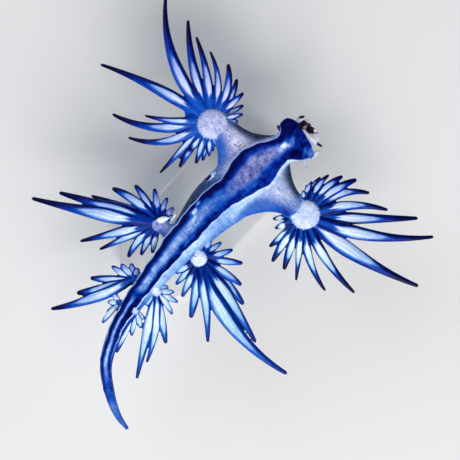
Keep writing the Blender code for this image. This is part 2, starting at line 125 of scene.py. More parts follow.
# The sole's dark sides: the distance along the back, and the tones to the animal's right and left.
DARK_SIDES = (
    (-0.72, 0.13, 0.13),
    (1.2, 0.14, 0.14),
    (3.0, 0.13, 0.26),
    (8.6, 0.13, 0.25),
    (13.0, 0.13, 0.17),
    (22.0, 0.14, 0.15),
    (25.5, 0.14, 0.16),
    (27.5, 0.13, 0.22),
    (31.0, 0.18, 0.22),
    (34.0, 0.28, 0.30),
    (35.2, 0.42, 0.42),
    (37.4, 0.32, 0.32),
)

# Spots on the sole: the distance along the back, the place across to the right, the radius
# along and across, and the tone.
SPOTS = (
    (0.15, 0.20, 1.10, 0.80, 0.23),
    (0.90, 0.06, 0.62, 0.50, 0.60),
    (1.67, 0.14, 0.56, 0.30, 1.00),
    (2.35, 0.02, 0.40, 0.22, 0.74),
    (-0.15, -1.85, 0.85, 0.60, 0.56),
    (11.85, 1.00, 0.30, 0.13, 0.66),
    (12.75, 0.78, 0.42, 0.26, 0.86),
    (13.5, 0.30, 0.50, 0.20, 0.80),
    (10.6, -0.55, 0.90, 0.22, 0.46),
    (15.4, -0.75, 1.30, 0.18, 0.40),
    (6.9, -1.20, 1.30, 0.16, 0.40),
)


@dataclass
class Arm:
    """A flattened arm from the body to its cluster's hub."""

    root: tuple  # where it starts inside the body
    neck: tuple  # where its neck meets the hub
    neck_half: float  # the neck's half width
    depth: float  # the neck's half depth
    head_flare: tuple  # how much wider its root is towards the head, and the falling off's power
    tail_flare: tuple  # the same towards the tail
    # The pearly top is partly a painted highlight on its upturned faces.
    pearl: float  # how pearly its top is
    dusk: float  # how much darker its tail side is
    shade: float  # how deep in shade its head side is


ARMS = {
    "front_right": Arm(
        root=(-0.5, -7.6), neck=(4.7, -7.9), neck_half=1.43, depth=0.75,
        head_flare=(3.0, 2.7), tail_flare=(6.8, 2.3), pearl=0.85, dusk=0.05, shade=1.0,
    ),
    "front_left": Arm(
        root=(-1.0, -6.6), neck=(-6.7, -7.15), neck_half=1.28, depth=0.75,
        head_flare=(5.6, 2.0), tail_flare=(7.0, 2.2), pearl=0.60, dusk=0.15, shade=1.0,
    ),
    "middle_right": Arm(
        root=(-0.2, 3.3), neck=(2.1, 3.40), neck_half=0.72, depth=0.50,
        head_flare=(2.0, 2.4), tail_flare=(1.2, 2.4), pearl=0.90, dusk=0.0, shade=0.2,
    ),
    "middle_left": Arm(
        root=(-0.2, 3.1), neck=(-2.4, 3.25), neck_half=0.80, depth=0.50,
        head_flare=(3.2, 2.4), tail_flare=(1.4, 2.4), pearl=0.75, dusk=0.0, shade=0.5,
    ),
}
# How deep below the foot's edge the arms start, which is also their half depth there, the power
# that this falls off by, and the share of the length that rounds the end within the hub.
ARM_ROOT_DEPTH = 1.35
ARM_DEPTH_POWER = 2.2
ARM_ROUNDING = 0.25


@dataclass
class Cluster:
    """A cluster of cerata round its white hub, and its looks."""

    side: int  # +1 on the animal's right, -1 on its left
    hub: tuple  # the place that its cerata spring from
    radius: float  # how far round that place they do
    below: float  # how far it lies below the sole
    plump: float  # how plump the cerata are
    tint: float  # how far the blues turn from lavender (0) to ice (1)
    web: float  # the tone of the web between the roots
    streak: float  # how streaked the web is
    leaf: float  # how broad the pale cores are
    end: float  # where the longest core ends, as a share of the reach
    tip: float  # the tone of the tips
    bare: tuple  # how far from the hub the cores start, and what each millimetre of reach adds
    # The edges are darker towards the head than towards the tail as painted shade.
    blade: tuple  # the tones of the cerata's edges towards the tail and towards the head
    bright: tuple  # the same for the cores
    blush: float  # how pearly the hub is
    disc: tuple  # the hub's own place and radius
    white: float  # the hub's tone
    rim: float  # how ragged the hub's rim is
    rows: tuple  # one row for each ceras
    notch: float = 0.60  # where the arm cuts into the hub's white, as a share of its radius

    def middle(self):
        """The point that the cerata spring from."""
        return np.array((*self.hub, SOLE_Z - self.below))

    def disc_middle(self):
        """The middle of the white hub."""
        return np.array((*self.disc[:2], SOLE_Z - self.below))


# The clusters. Each row is one ceras: the sweep in degrees from straight outwards, positive towards
# the head, the reach, the path's sideways bow, positive towards the head, and for a few how
# swollen it is, how much nearer to the hub its core starts, and how far it is raised.
CLUSTERS = {
    "front_right": Cluster(
        side=1, hub=(5.54, -7.60), radius=1.45, below=1.25, plump=1.0,
        tint=0.15, web=0.42, streak=0.03, leaf=0.90, end=0.60, tip=0.08,
        bare=(0.12, 0.125), blade=(0.36, 0.20), bright=(0.93, 0.95), blush=0.50,
        disc=(5.33, -7.52, 1.56), white=0.76, notch=0.72, rim=0.045,
        rows=(
            (-144, 2.4, 0.0), (-136, 2.9, 0.0), (-129, 3.4, 0.0), (-120, 3.9, 0.0),
            (-112, 4.4, 0.0), (-97, 5.5, 0.1), (-91, 4.8, -0.3), (-87, 7.2, 0.0),
            (-53, 8.5, -1.1), (-38, 10.0, -1.0), (-37, 6.7, -0.3), (-15, 12.6, 0.4),
            (27, 13.6, -1.4), (34, 10.7, -0.5), (37, 8.8, 0.35), (46, 7.2, 0.7),
            (63, 6.1, 0.6), (77, 5.1, 0.4), (94, 4.4, 0.0), (108, 3.7, 0.0),
            (122, 3.3, 0.0, 1.0, 0.3, 0.25), (134, 2.7, 0.0, 1.1, 0.4, 0.45),
        ),
    ),
    "front_left": Cluster(
        side=-1, hub=(-7.54, -7.18), radius=1.45, below=1.25, plump=1.06,
        tint=0.65, web=0.27, streak=0.22, leaf=1.14, end=0.69, tip=0.11,
        bare=(0.45, 0.13), blade=(0.28, 0.18), bright=(0.99, 0.94), blush=0.25,
        disc=(-7.72, -7.24, 1.52), white=0.88, notch=0.42, rim=0.045,
        rows=(
            (-144, 2.4, 0.0), (-128, 3.1, 0.0), (-110, 3.2, 0.0), (-93, 4.7, 0.1),
            (-80, 5.7, -0.1), (-66, 5.9, -0.1), (-53, 6.7, 0.0), (-31, 8.0, -0.6),
            (-14, 9.4, -0.5), (11, 13.7, -0.55, 1.12, 1.3), (33, 13.3, -0.8), (41, 11.6, -0.1),
            (46, 8.5, 0.7, 1.1), (61, 7.0, 0.9, 1.3), (76, 6.4, 0.4), (87, 5.5, 0.4),
            (100, 4.7, 0.4, 0.85), (108, 4.1, 0.4, 0.82), (118, 3.4, 0.3, 0.80),
            (126, 3.0, 0.0, 0.80, 0.2, 0.15), (134, 2.4, 0.0, 0.85, 0.3, 0.30),
            (144, 1.9, 0.0, 0.90, 0.3, 0.35),
        ),
    ),
    "middle_right": Cluster(
        side=1, hub=(2.53, 3.45), radius=0.75, below=1.15, plump=1.18,
        tint=0.32, web=0.25, streak=0.16, leaf=1.08, end=0.66, tip=0.08,
        bare=(0.40, 0.15), blade=(0.34, 0.20), bright=(0.93, 0.80), blush=0.25,
        disc=(2.42, 3.66, 0.62), white=0.66, rim=0.06,
        rows=(
            (-121, 3.1, 0.0), (-104, 3.7, 0.1), (-91, 4.6, 0.3), (-67, 6.5, 0.0),
            (-56, 8.1, 0.0), (-32, 12.95, -0.2), (-26, 10.4, 0.0), (-21, 7.3, 0.1),
            (-6, 5.8, 0.3), (15, 4.5, 0.1), (40, 3.5, 0.0), (66, 2.7, -0.1),
            (91, 2.2, 0.0), (115, 1.8, 0.0),
        ),
    ),
    "middle_left": Cluster(
        side=-1, hub=(-2.91, 3.29), radius=0.85, below=1.15, plump=1.18,
        tint=0.80, web=0.22, streak=0.16, leaf=1.02, end=0.80, tip=0.26,
        bare=(0.35, 0.15), blade=(0.43, 0.30), bright=(0.93, 0.85), blush=0.10,
        disc=(-2.91, 3.29, 0.85), white=0.95, rim=0.09,
        rows=(
            (-132, 1.6, 0.0), (-120, 2.3, 0.0), (-105, 2.8, 0.0), (-89, 3.5, 0.0),
            (-71, 4.2, 0.0), (-55, 6.0, 0.1), (-41, 8.4, 0.2), (-10, 14.5, -1.4),
            (-13, 10.1, 0.2), (-3, 6.4, 0.2), (11, 5.0, 0.1), (37, 4.4, 0.0),
            (58, 3.5, -0.1), (79, 2.8, 0.0), (100, 2.3, 0.0), (121, 1.9, 0.0),
        ),
    ),
    "rear_right": Cluster(
        side=1, hub=(0.48, 9.24), radius=0.50, below=0.95, plump=1.25,
        tint=0.35, web=0.28, streak=0.24, leaf=1.08, end=0.70, tip=0.12,
        bare=(0.05, 0.10), blade=(0.36, 0.26), bright=(0.95, 0.84), blush=0.0,
        disc=(0.48, 9.24, 0.40), white=0.45, rim=0.14,
        rows=(
            (-63, 8.85, -0.4), (-57, 5.9, -0.2), (-42, 4.4, -0.1), (-13, 2.6, -0.1),
            (5, 2.0, 0.0), (36, 1.6, 0.0), (67, 1.2, 0.0),
        ),
    ),
    "rear_left": Cluster(
        side=-1, hub=(-2.03, 8.62), radius=0.52, below=0.95, plump=1.1,
        tint=0.80, web=0.30, streak=0.20, leaf=1.15, end=0.80, tip=0.24,
        bare=(-0.10, 0.09), blade=(0.42, 0.32), bright=(0.98, 0.94), blush=0.10,
        disc=(-2.03, 8.62, 0.52), white=0.95, rim=0.16,
        rows=(
            (-82, 1.8, 0.0), (-60, 9.0, 0.0), (-55, 7.2, 0.4), (-37, 5.3, 0.0),
            (-13, 2.8, 0.1), (16, 2.4, 0.0), (41, 1.8, 0.0), (66, 1.3, 0.0),
        ),
    ),
    "hind_right": Cluster(
        side=1, hub=(-0.17, 11.95), radius=0.40, below=0.85, plump=1.1,
        tint=0.80, web=0.34, streak=0.20, leaf=1.20, end=0.80, tip=0.20,
        bare=(-0.12, 0.05), blade=(0.36, 0.26), bright=(1.00, 1.00), blush=0.0,
        disc=(-0.17, 11.95, 0.36), white=0.45, rim=0.18,
        rows=((-91, 2.7, 0.1), (-79, 1.7, 0.0), (-38, 1.3, 0.0), (10, 1.2, 0.0)),
    ),
    "hind_left": Cluster(
        side=-1, hub=(-1.80, 11.45), radius=0.40, below=1.10, plump=1.1,
        tint=0.85, web=0.34, streak=0.20, leaf=1.20, end=0.80, tip=0.24,
        bare=(-0.12, 0.05), blade=(0.36, 0.26), bright=(1.00, 1.00), blush=0.0,
        disc=(-1.80, 11.45, 0.40), white=0.90, rim=0.18,
        rows=((-72, 4.7, -0.1), (-57, 2.6, 0.0), (-30, 1.9, 0.0), (-5, 1.2, 0.0)),
    ),
}
# The last three values of a row that leaves them out.
CERAS_USUAL = (1.0, 0.0, 0.0)

# Two small cerata by the middle right hub: root and tip from the sole's level, and width, and
# how that goes from root to tip.
SMALL_CERATA = (
    ((2.84, 3.42, -0.66), (2.06, 2.32, -0.62), 0.58),
    ((1.60, 2.80, -1.05), (1.90, 1.46, -0.62), 0.34),
)
SMALL_PROFILE = ((0.0, 0.35), (0.2, 0.8), (0.5, 1.0), (0.8, 0.7), (1.0, 0.2))
# A hub's half height as a share of its radius, the power that squares its rim, the lobes round
# it for each ceras, and how ragged the rim of the smoothest hub is.
HUB_FLATNESS = 0.46
HUB_SQUARENESS = 0.6
LOBES_PER_CERAS = 1.3
HUB_RIM = 0.045
# A ceras's width, what each millimetre of reach adds to it, the least width at its broadest, its
# height as a share of its width, and the least width at its tip.
CERAS_WIDTH = 0.32
CERAS_WIDTH_PER_REACH = 0.088
CERAS_LEAST_WIDTH = 0.56
CERAS_FLATNESS = 0.80
CERAS_LEAST_TIP = 0.17
# Where a ceras starts as a share of the hub's radius, how far its path arches up as a share of
# its reach, how far every second one lies lower, as a share of the radius, how much the lifts
# vary in millimetres, and the droops at the tips as shares of the reach.
CERAS_ROOT = 0.55
CERAS_ARCH = 0.05
CERAS_STAGGER = 0.18
CERAS_JITTER = 0.05
CERAS_DROOPS = (0.03, 0.13)
# How far a pale core is shifted across its ceras in half widths, and how broad it is.
CORE_SHIFTS = (-0.14, 0.14)
CORE_SHARES = (0.88, 1.10)
# How the width of a ceras goes from its root to its tip, for the shortest reach of each kind.
CERAS_PROFILES = (
    (12.0, (
        (0.00, 0.60), (0.16, 0.80), (0.34, 0.92), (0.50, 0.78), (0.65, 0.57), (0.80, 0.40),
        (0.90, 0.31), (1.00, 0.23),
    )),
    (6.5, (
        (0.00, 0.60), (0.16, 0.80), (0.36, 0.90), (0.50, 0.79), (0.65, 0.64), (0.80, 0.49),
        (0.90, 0.39), (1.00, 0.27),
    )),
    (0.0, (
        (0.00, 0.60), (0.30, 0.88), (0.55, 0.96), (0.78, 0.82), (0.92, 0.60), (1.00, 0.42),
    )),
)
# How far the web reaches past the hub, how far its free edge curves in, and its half thickness
# at the hub and at that edge.
WEB_PER_REACH = 0.17
WEB_MARGIN = 0.12
WEB_CURVE = 0.20
WEB_HALF = (0.26, 0.10)

# The way that the head points, its middle and its half sizes. The mouth's middle, how many
# degrees it faces forwards from straight up, the lips' radius, how much wider they are across
# the head, and their half thickness.
HEADING = np.array((-0.236, -0.971, 0.0)) / math.hypot(0.236, 0.971)
HEAD_MIDDLE = np.array((-1.98, -12.25, SOLE_Z - 1.95))
HEAD_HALF = (1.52, 2.05, 1.35)
MOUTH_MIDDLE = HEAD_MIDDLE + HEADING * 1.50 + np.array((0.12, 0.0, 0.62))
MOUTH_TILT = 38
LIPS_RADIUS = 0.62
LIPS_STRETCH = 1.72
LIP_HALF = 0.27
# The dark opening within the lips: its place to the right and forwards from their middle, its
# half sizes, how its right end slants back, its depth, and the ends and half width of the pale
# fold that crosses it. The painted shadow of a crease beside it runs at a place to the left and a
# slant, from its upper to its lower end.
GAPE_PLACE = (0.40, -0.15)
GAPE_HALF = (0.88, 0.62)
GAPE_SLANT = 0.30
GAPE_DEPTH = 0.55
FOLD_ENDS = np.array(((0.48, -0.04), (0.22, -0.62)))
FOLD_HALF = 0.19
CREASE_SHADOW_PLACE = (0.40, 0.42)
CREASE_SHADOW_ENDS = (-0.45, 0.65)
# The thin pale flap at the head's left corner.
FLAP_MIDDLE = np.array((-4.22, -12.20, SOLE_Z - 0.36))
FLAP_HALF = (0.27, 0.76, 0.11)
# The small papilla on the right flank, and the dark pore on it, set towards its right and rear
# side, where it is also the papilla's painted shade.
PAPILLA_MIDDLE = np.array((1.68, -3.58, SOLE_Z - 1.22))
PAPILLA_HALF = (0.42, 0.85, 0.45)
PAPILLA_TURN = math.radians(-8)
PORE_AND_SHADE_SHIFT = np.array((0.30, 0.30, 0.0))
PORE_AND_SHADE_HALF = (0.22, 0.46, 1.2)

# Each feeler's root in the head, the point that it bends towards and its tip, from the sole's
# level, and its width at the root.
FEELERS = {
    "tentacle_right": ((-1.5, -12.9, -1.45), (-0.15, -13.6, -1.3), (-0.92, -14.46, -1.1), 0.42),
    "tentacle_left": ((-3.0, -13.2, -1.5), (-3.6, -13.3, -1.35), (-4.28, -13.44, -1.2), 0.36),
    "rhinophore_right": ((-1.2, -11.6, -2.65), (-0.4, -11.85, -3.0), (0.55, -12.1, -3.45), 0.52),
    "rhinophore_left": ((-2.7, -11.85, -2.65), (-3.7, -11.4, -3.0), (-4.70, -10.93, -3.45), 0.32),
}
# How far back from their tips the two mouth tentacles are dark, and half the change's length.
FEELER_DARK = 0.62
FEELER_SOFT = 0.12

# The skin's grooves: the depths at which a fillet starts and is full, how far it spreads, and how
# strongly each round draws it smooth. Then the light evening of the whole skin, and the rounds
# that even the paints where the arms run into the body.
GROOVE_DEPTHS = (0.004, 0.014)
FILLET_SPREAD_ROUNDS = 5
FILLET_SPREAD = 1.15
FILLET_PULL = 0.65
EVENING_PULL = 0.25
EVENING_ROUNDS = 2
PAINT_ROUNDS = 40

FLESH_NODES = (
    "foot_front", "torso_front", "torso_middle", "torso_rear", "tail_base", "tail_middle",
    "tail_tip", "head", "lips", "oral_tentacle_right", "oral_tentacle_left",
    "rhinophore_right", "rhinophore_left", *(f"arm_{name}" for name in ARMS),
    *(f"cerata_{name}" for name in CLUSTERS), "anal_papilla",
)

# The camera looks straight down, as the photo's does: the point below it on the sole's level,
# the way that is up in the picture, its height above that level, and the field it takes in.
VIEW_MIDDLE = (-3.22, -0.95)
VIEW_UP = (0.682, -0.731)
VIEW_HEIGHT = 150.0
VIEW_FIELD = 46.0
# The soft lights: the place to the right, up the picture and above the sole's level, the size
# and the colour.
LIGHTS = {
    "key": ((80, -300, 270), 320, "#FFFBF5"),
    "fill": ((-260, 260, 260), 400, "#F2F6FF"),
}
SKY_COLOUR = "#E4E9F0"
SKY_STRENGTH = 0.18
FLOOR_SIZE = 2000


def read_rows(rows, at):
    """Every column of a table, read off a smooth curve at values of its first column."""
    rows = np.asarray(rows, float)
    x, y = rows[:, 0], rows[:, 1:]
    at = np.clip(np.atleast_1d(np.asarray(at, float)), x[0], x[-1])
    i = np.clip(np.searchsorted(x, at, side="right") - 1, 0, len(x) - 2)
    before, after = np.maximum(i - 1, 0), np.minimum(i + 2, len(x) - 1)
    span = (x[i + 1] - x[i])[:, None]
    t = (at - x[i])[:, None] / span
    slope_in = (y[i + 1] - y[before]) / (x[i + 1] - x[before])[:, None] * span
    slope_out = (y[after] - y[i]) / (x[after] - x[i])[:, None] * span
    return (
        (2 * t**3 - 3 * t**2 + 1) * y[i]
        + (t**3 - 2 * t**2 + t) * slope_in
        + (3 * t**2 - 2 * t**3) * y[i + 1]
        + (t**3 - t**2) * slope_out
    )


def unit(vectors):
    """The vectors, each made one long."""
    return vectors / np.linalg.norm(vectors, axis=-1, keepdims=True)


def smooth_step(low, high, value):
    """0 below low, 1 above high, and a soft rise between; low may be the greater."""
    t = np.clip((value - low) / (high - low), 0.0, 1.0)
    return t * t * (3 - 2 * t)


def mix(low, high, share):
    """From low at a share of 0 to high at a share of 1."""
    return low + (high - low) * share


def read_columns(at, places, values):
    """Every column of the values, read in straight steps between the places that they stand at."""
    return np.stack([np.interp(at, places, column) for column in values.T], axis=1)


def curve(start, control, end, t):
    """Points at shares of a curve that bends once, towards its control point."""
    t = t[:, None]
    return start * (1 - t) ** 2 + control * (2 * t * (1 - t)) + end * t**2


def rounded(rings, fine):
    """Closed rings of points with a smooth curve drawn through them."""
    p0, p1 = np.roll(rings, 1, axis=1), rings
    p2, p3 = np.roll(rings, -1, axis=1), np.roll(rings, -2, axis=1)
    parts = []
    for k in range(fine):
        t = k / fine
        parts.append(
            0.5 * (2 * p1 + (p2 - p0) * t + (2 * p0 - 5 * p1 + 4 * p2 - p3) * t**2
                   + (3 * p1 - p0 - 3 * p2 + p3) * t**3)
        )
    return np.stack(parts, axis=2).reshape(len(rings), -1, 3)


class Forms:
    """The closed forms of the flesh, gathered as rings before they are fused into one skin."""

    def __init__(self):
        self.points, self.faces, self.names, self.owners = [], [], [], []
        self.count = 0

    def add(self, name, rings, tips=(None, None)):
        """Takes rings of points, each end closed by a fan round its middle or its tip."""
        rows, sides, _ = rings.shape
        ends = [rings[0].mean(0) if tips[0] is None else tips[0]]
        ends.append(rings[-1].mean(0) if tips[1] is None else tips[1])
        points = np.concatenate([rings.reshape(-1, 3), np.array(ends)])
        base = self.count
        k = np.arange(sides)
        j = (k + 1) % sides
        for row in range(rows - 1):
            low, high = base + row * sides, base + (row + 1) * sides
            self.faces += np.stack([low + k, low + j, high + j, high + k], axis=1).tolist()
        first, last = base + rows * sides, base + (rows - 1) * sides
        self.faces += np.stack([base + j, base + k, np.full(sides, first)], axis=1).tolist()
        self.faces += np.stack([last + k, last + j, np.full(sides, first + 1)], axis=1).tolist()
        self.points.append(points)
        self.owners.append(np.full(len(points), len(self.names)))
        self.names.append(name)
        self.count += len(points)


def body_lines(at):
    """The middle of the sole, the way to the right, and the sizes, at distances along the back."""
    rows = read_rows(BODY, at)
    step = 0.05
    near = np.clip(at, BODY[0][0], BODY[-1][0])
    along = read_rows(BODY, near + step) - read_rows(BODY, near - step)
    along = unit(np.concatenate([along[:, :2], np.zeros((len(along), 1))], axis=1))
    across = np.stack([along[:, 1], -along[:, 0], np.zeros(len(along))], axis=1)
    middle = np.stack([rows[:, 0], rows[:, 1], SOLE_Z - rows[:, 6]], axis=1)
    return middle, across, rows[:, 2:6]


def margin_wave(at, side):
    """How far the thin edge of the foot ripples in and out, calm at the head and the tail."""
    calm = smooth_step(-0.5, 1.5, at) * smooth_step(37.0, 33.0, at)
    return (0.045 * np.sin(1.9 * at + 1.3 * side) + 0.03 * np.sin(4.3 * at - 2.0 * side)) * calm


def edge_height(depth):
    """How thick the foot's thin edge is where the body is this deep."""
    return np.minimum(FOOT_EDGE, 0.4 * depth)


def body_rings(step, fine):
    """Rings round the body: the dished sole, its thin rippled edge, and the rounded flanks."""
    at = np.arange(BODY[0][0], BODY[-1][0] + step / 2, step)
    middle, across, sizes = body_lines(at)
    sole, flank, lean, depth = sizes.T
    edge = edge_height(depth)
    rings = [middle - UP * (SOLE_DISH * sole)[:, None]]
    for side in (1, -1):
        wave = margin_wave(at, side)
        half = [
            (0.52 * sole, -0.6 * SOLE_DISH * sole, 0.0),
            (0.88 * sole + wave, 0.0 * sole, 0.0),
            (sole + wave, -0.35 * edge, 0.0),
            (0.93 * sole + wave * 0.6, -edge, 0.0),
            (0.5 * (0.9 * sole + flank) + 0.06, -edge - 0.10 * depth, 0.5),
            (flank, -edge - 0.30 * depth, 0.9),
            (0.86 * flank, -0.68 * depth, 1.0),
            (0.46 * flank, -0.94 * depth, 1.0),
        ]
        points = [
            middle + across * (side * out - share * lean)[:, None] + UP * up[:, None]
            for out, up, share in half
        ]
        if side == 1:
            rings += points + [middle - across * lean[:, None] - UP * depth[:, None]]
        else:
            rings += points[::-1]
    return rounded(np.stack(rings, axis=1), fine)


def arm_axes(name):
    """The arm's root and neck, its outward way and the level way towards the head."""
    spec, cluster = ARMS[name], CLUSTERS[name]
    root = np.array((*spec.root, SOLE_Z - ARM_ROOT_DEPTH - FOOT_EDGE))
    neck = np.array((*spec.neck, cluster.middle()[2]))
    out = unit(neck - root)
    headward = unit(np.array((cluster.side * out[1], -cluster.side * out[0], 0.0)))
    return root, neck, out, headward


def arm_half(spec, t):
    """How far the arm spreads towards the head and towards the tail at a share of its length."""
    flares = (spec.head_flare, spec.tail_flare)
    return [spec.neck_half + flare * (1 - t) ** power for flare, power in flares]


def arm_rings(name, steps, sides):
    """A flattened limb from inside the body to the hub, spread wide where it leaves the flank."""
    spec = ARMS[name]
    root, neck, _, headward = arm_axes(name)
    t = np.linspace(0, 1 + ARM_ROUNDING, steps)
    before = np.minimum(t, 1)
    high = spec.depth + (ARM_ROOT_DEPTH - spec.depth) * (1 - before) ** ARM_DEPTH_POWER
    head_half, tail_half = arm_half(spec, before)
    middle = root + (neck - root) * t[:, None] + headward * ((head_half - tail_half) / 2)[:, None]
    blunt = np.sqrt(1 - np.minimum((t - before) / ARM_ROUNDING, 0.99) ** 2)
    high = high * blunt
    half = (head_half + tail_half) / 2 * blunt
    a = np.linspace(0, 2 * math.pi, sides, endpoint=False)
    return (
        middle[:, None]
        + headward * (half[:, None] * np.cos(a))[:, :, None]
        + UP * (high[:, None] * np.sin(a))[:, :, None]
    )


def rim_wave(cluster, angle):
    """The share by which a hub's rim swells and shrinks round it, a bump for each lobe."""
    lobes = round(LOBES_PER_CERAS * len(cluster.rows))
    wave = np.cos(lobes * angle) + 0.45 * np.cos((lobes // 2) * angle + 1.0)
    return cluster.rim * wave + 0.8 * (cluster.rim - HUB_RIM) * np.cos(2 * angle + 0.7)


def ball_rings(middle, half, turn=0.0, rows=24, sides=40, cluster=None):
    """A ball stretched to three half sizes and turned, its rim scalloped where it is a hub."""
    lat = np.linspace(-math.pi / 2, math.pi / 2, rows + 2)[1:-1, None]
    lon = np.linspace(0, 2 * math.pi, sides, endpoint=False)[None]
    grow = 1 + rim_wave(cluster, lon) * np.cos(lat) ** 6 if cluster else 1.0
    out = np.cos(lat) ** (HUB_SQUARENESS if cluster else 1.0) * grow
    x = half[0] * out * np.cos(lon)
    y = half[1] * out * np.sin(lon)
    z = half[2] * np.sin(lat) + 0 * lon
    c, s = math.cos(turn), math.sin(turn)
    return np.stack([c * x - s * y, s * x + c * y, z], axis=2) + middle


def tube_rings(path, widths, sides, flatness=1.0):
    """Rings along a path of points, round or flattened, each square to the path."""
    along = unit(np.gradient(path, axis=0))
    across = unit(np.cross(along, UP))
    rise = np.cross(across, along)
    a = np.linspace(0, 2 * math.pi, sides, endpoint=False)
    half = 0.5 * np.asarray(widths)[:, None]
    return (
        path[:, None]
        + across[:, None] * (half * np.cos(a))[:, :, None]
        + rise[:, None] * (half * flatness * np.sin(a))[:, :, None]
    )


def sweep_direction(side, degrees):
    """The level direction at an angle from straight outwards, positive towards the head."""
    a = math.radians(degrees)
    return np.array((side * math.cos(a), -math.sin(a), 0.0))


def ceras_line(cluster, root_sweep, row, lift, droop, t):
    """Points from inside the hub to the tip, bowed sideways, and down by the droop."""
    sweep, reach, bow = row[:3]
    side, hub = cluster.side, cluster.middle()
    root = hub + sweep_direction(side, root_sweep) * (CERAS_ROOT * cluster.radius) + UP * lift
    tip = hub + sweep_direction(side, sweep) * reach + UP * (lift - droop)
    chord = tip - root
    heading = math.degrees(math.atan2(-chord[1], side * chord[0]))
    aside = sweep_direction(side, heading + 90)
    control = (root + tip) / 2 + aside * (2 * bow) + UP * (CERAS_ARCH * reach)
    return curve(root, control, tip, t)


class Ceras:
    """One ceras: its centre line, its widths, and the cluster that it belongs to."""

    def __init__(self, cluster, number, draw):
        rows = cluster.rows
        row = rows[number]
        first, last = rows[0][0], rows[-1][0]
        even = first + (last - first) * number / (len(rows) - 1)
        swell, self.early, raised = (*row[3:], *CERAS_USUAL[len(row) - 3:])
        lift = -CERAS_STAGGER * cluster.radius * (number % 2)
        lift = lift + draw.uniform(-CERAS_JITTER, CERAS_JITTER) - CERAS_JITTER + raised
        droop = draw.uniform(*CERAS_DROOPS) * row[1]
        self.cluster, self.sweep, self.reach = cluster, row[0], row[1]
        t = np.linspace(0, 1.02, 56)
        self.line = ceras_line(cluster, 0.5 * (even + row[0]), row, lift, droop, t)
        width = max(CERAS_WIDTH + CERAS_WIDTH_PER_REACH * self.reach, CERAS_LEAST_WIDTH)
        profile = next(rows for least, rows in CERAS_PROFILES if self.reach >= least)
        widths = width * cluster.plump * swell * read_rows(profile, t)[:, 0]
        self.widths = np.maximum(widths, CERAS_LEAST_TIP)
        self.web_end = cluster.radius + WEB_MARGIN + WEB_PER_REACH * self.reach
        self.core_shift, self.core_share = 0.0, 1.0

    def rings(self):
        """The ceras as rings, its tip rounded over the last half width."""
        left = np.linalg.norm(self.line - self.line[-1], axis=1)
        blunt = np.clip(left / (0.5 * self.widths[-1]), 0, 1)
        widths = self.widths * np.sqrt(1 - (1 - blunt) ** 2)
        return tube_rings(self.line[:-1], widths[:-1], 22, CERAS_FLATNESS)

    def closeness(self, points):
        """How far points lie from the centre line, in half widths."""
        place = along_line(points, self.line)
        spots = np.arange(len(self.line))
        away = (points - read_columns(place, spots, self.line)) / (1, 1, CERAS_FLATNESS)
        return np.linalg.norm(away, axis=1) / (0.5 * np.interp(place, spots, self.widths))

    def place_across(self, points):
        """Where points lie across the ceras, in half widths and positive towards the head."""
        place = along_line(points, self.line)
        spots = np.arange(len(self.line))
        across = unit(np.cross(unit(np.gradient(self.line, axis=0)), UP))
        away = points - read_columns(place, spots, self.line)
        half = 0.5 * np.interp(place, spots, self.widths)
        side = self.cluster.side
        return (away * read_columns(place, spots, across)).sum(1) / half * side

    def at_distance(self, r):
        """The points of the centre line at level distances from the hub's middle."""
        out = np.linalg.norm((self.line - self.cluster.middle()) * (1, 1, 0), axis=1)
        return read_columns(r, out, self.line)


def all_cerata():
    """Every ceras of every cluster, with the lift and droop drawn in one fixed order."""
    draw = random.Random(7)
    made = []
    for cluster in CLUSTERS.values():
        made += [Ceras(cluster, number, draw) for number in range(len(cluster.rows))]
    shade = random.Random(11)
    for ceras in made:
        ceras.core_shift = shade.uniform(*CORE_SHIFTS)
        ceras.core_share = shade.uniform(*CORE_SHARES)
    return made


def web_rings(one, other):
    """The thin web between the roots of two neighbouring cerata, its free edge curved inwards."""
    radius = one.cluster.radius
    rings = []
    for share in np.linspace(0, 1, 9):
        reach = mix(one.web_end, other.web_end, share) + 0.1
        reach -= WEB_CURVE * (reach - radius) * math.sin(math.pi * share)
        r = np.linspace(0.5 * radius, reach, 14)
        flat = mix(one.at_distance(r), other.at_distance(r), share)
        half = np.linspace(*WEB_HALF, len(r))[:, None] * UP
        rings.append(np.concatenate([flat + half, (flat - half)[::-1]]))
    return np.stack(rings)


def mouth_axes():
    """The way to the right, the way forwards and down, and the way that the mouth faces."""
    tilt = math.radians(MOUTH_TILT)
    right = np.array((-HEADING[1], HEADING[0], 0.0))
    normal = HEADING * math.sin(tilt) + UP * math.cos(tilt)
    return right, np.cross(right, normal), normal


def lip_rings():
    """The lips: a ring round the mouth, wider across the head, lobed on its lower side."""
    right, ahead, normal = mouth_axes()
    a = np.linspace(0, 2 * math.pi, 64, endpoint=False)
    b = np.linspace(0, 2 * math.pi, 20, endpoint=False)
    lobed = 1 + 0.07 * np.cos(5 * a + 0.6) + 0.04 * np.cos(9 * a)
    out = LIPS_RADIUS * lobed[:, None] + LIP_HALF * np.cos(b)[None]
    x = out * np.cos(a)[:, None] * LIPS_STRETCH
    y = out * np.sin(a)[:, None]
    z = LIP_HALF * np.sin(b)[None] + 0 * a[:, None]
    return MOUTH_MIDDLE + x[..., None] * right + y[..., None] * ahead + z[..., None] * normal


def add_ring_form(forms, name, rings):
    """A closed ring of rings, such as the lips, joined end to end without caps."""
    rows, sides, _ = rings.shape
    base = forms.count
    k = np.arange(sides)
    j = (k + 1) % sides
    for row in range(rows):
        low, high = base + row * sides, base + (row + 1) % rows * sides
        forms.faces += np.stack([low + k, low + j, high + j, high + k], axis=1).tolist()
    forms.points.append(rings.reshape(-1, 3))
    forms.owners.append(np.full(rows * sides, len(forms.names)))
    forms.names.append(name)
    forms.count += rows * sides


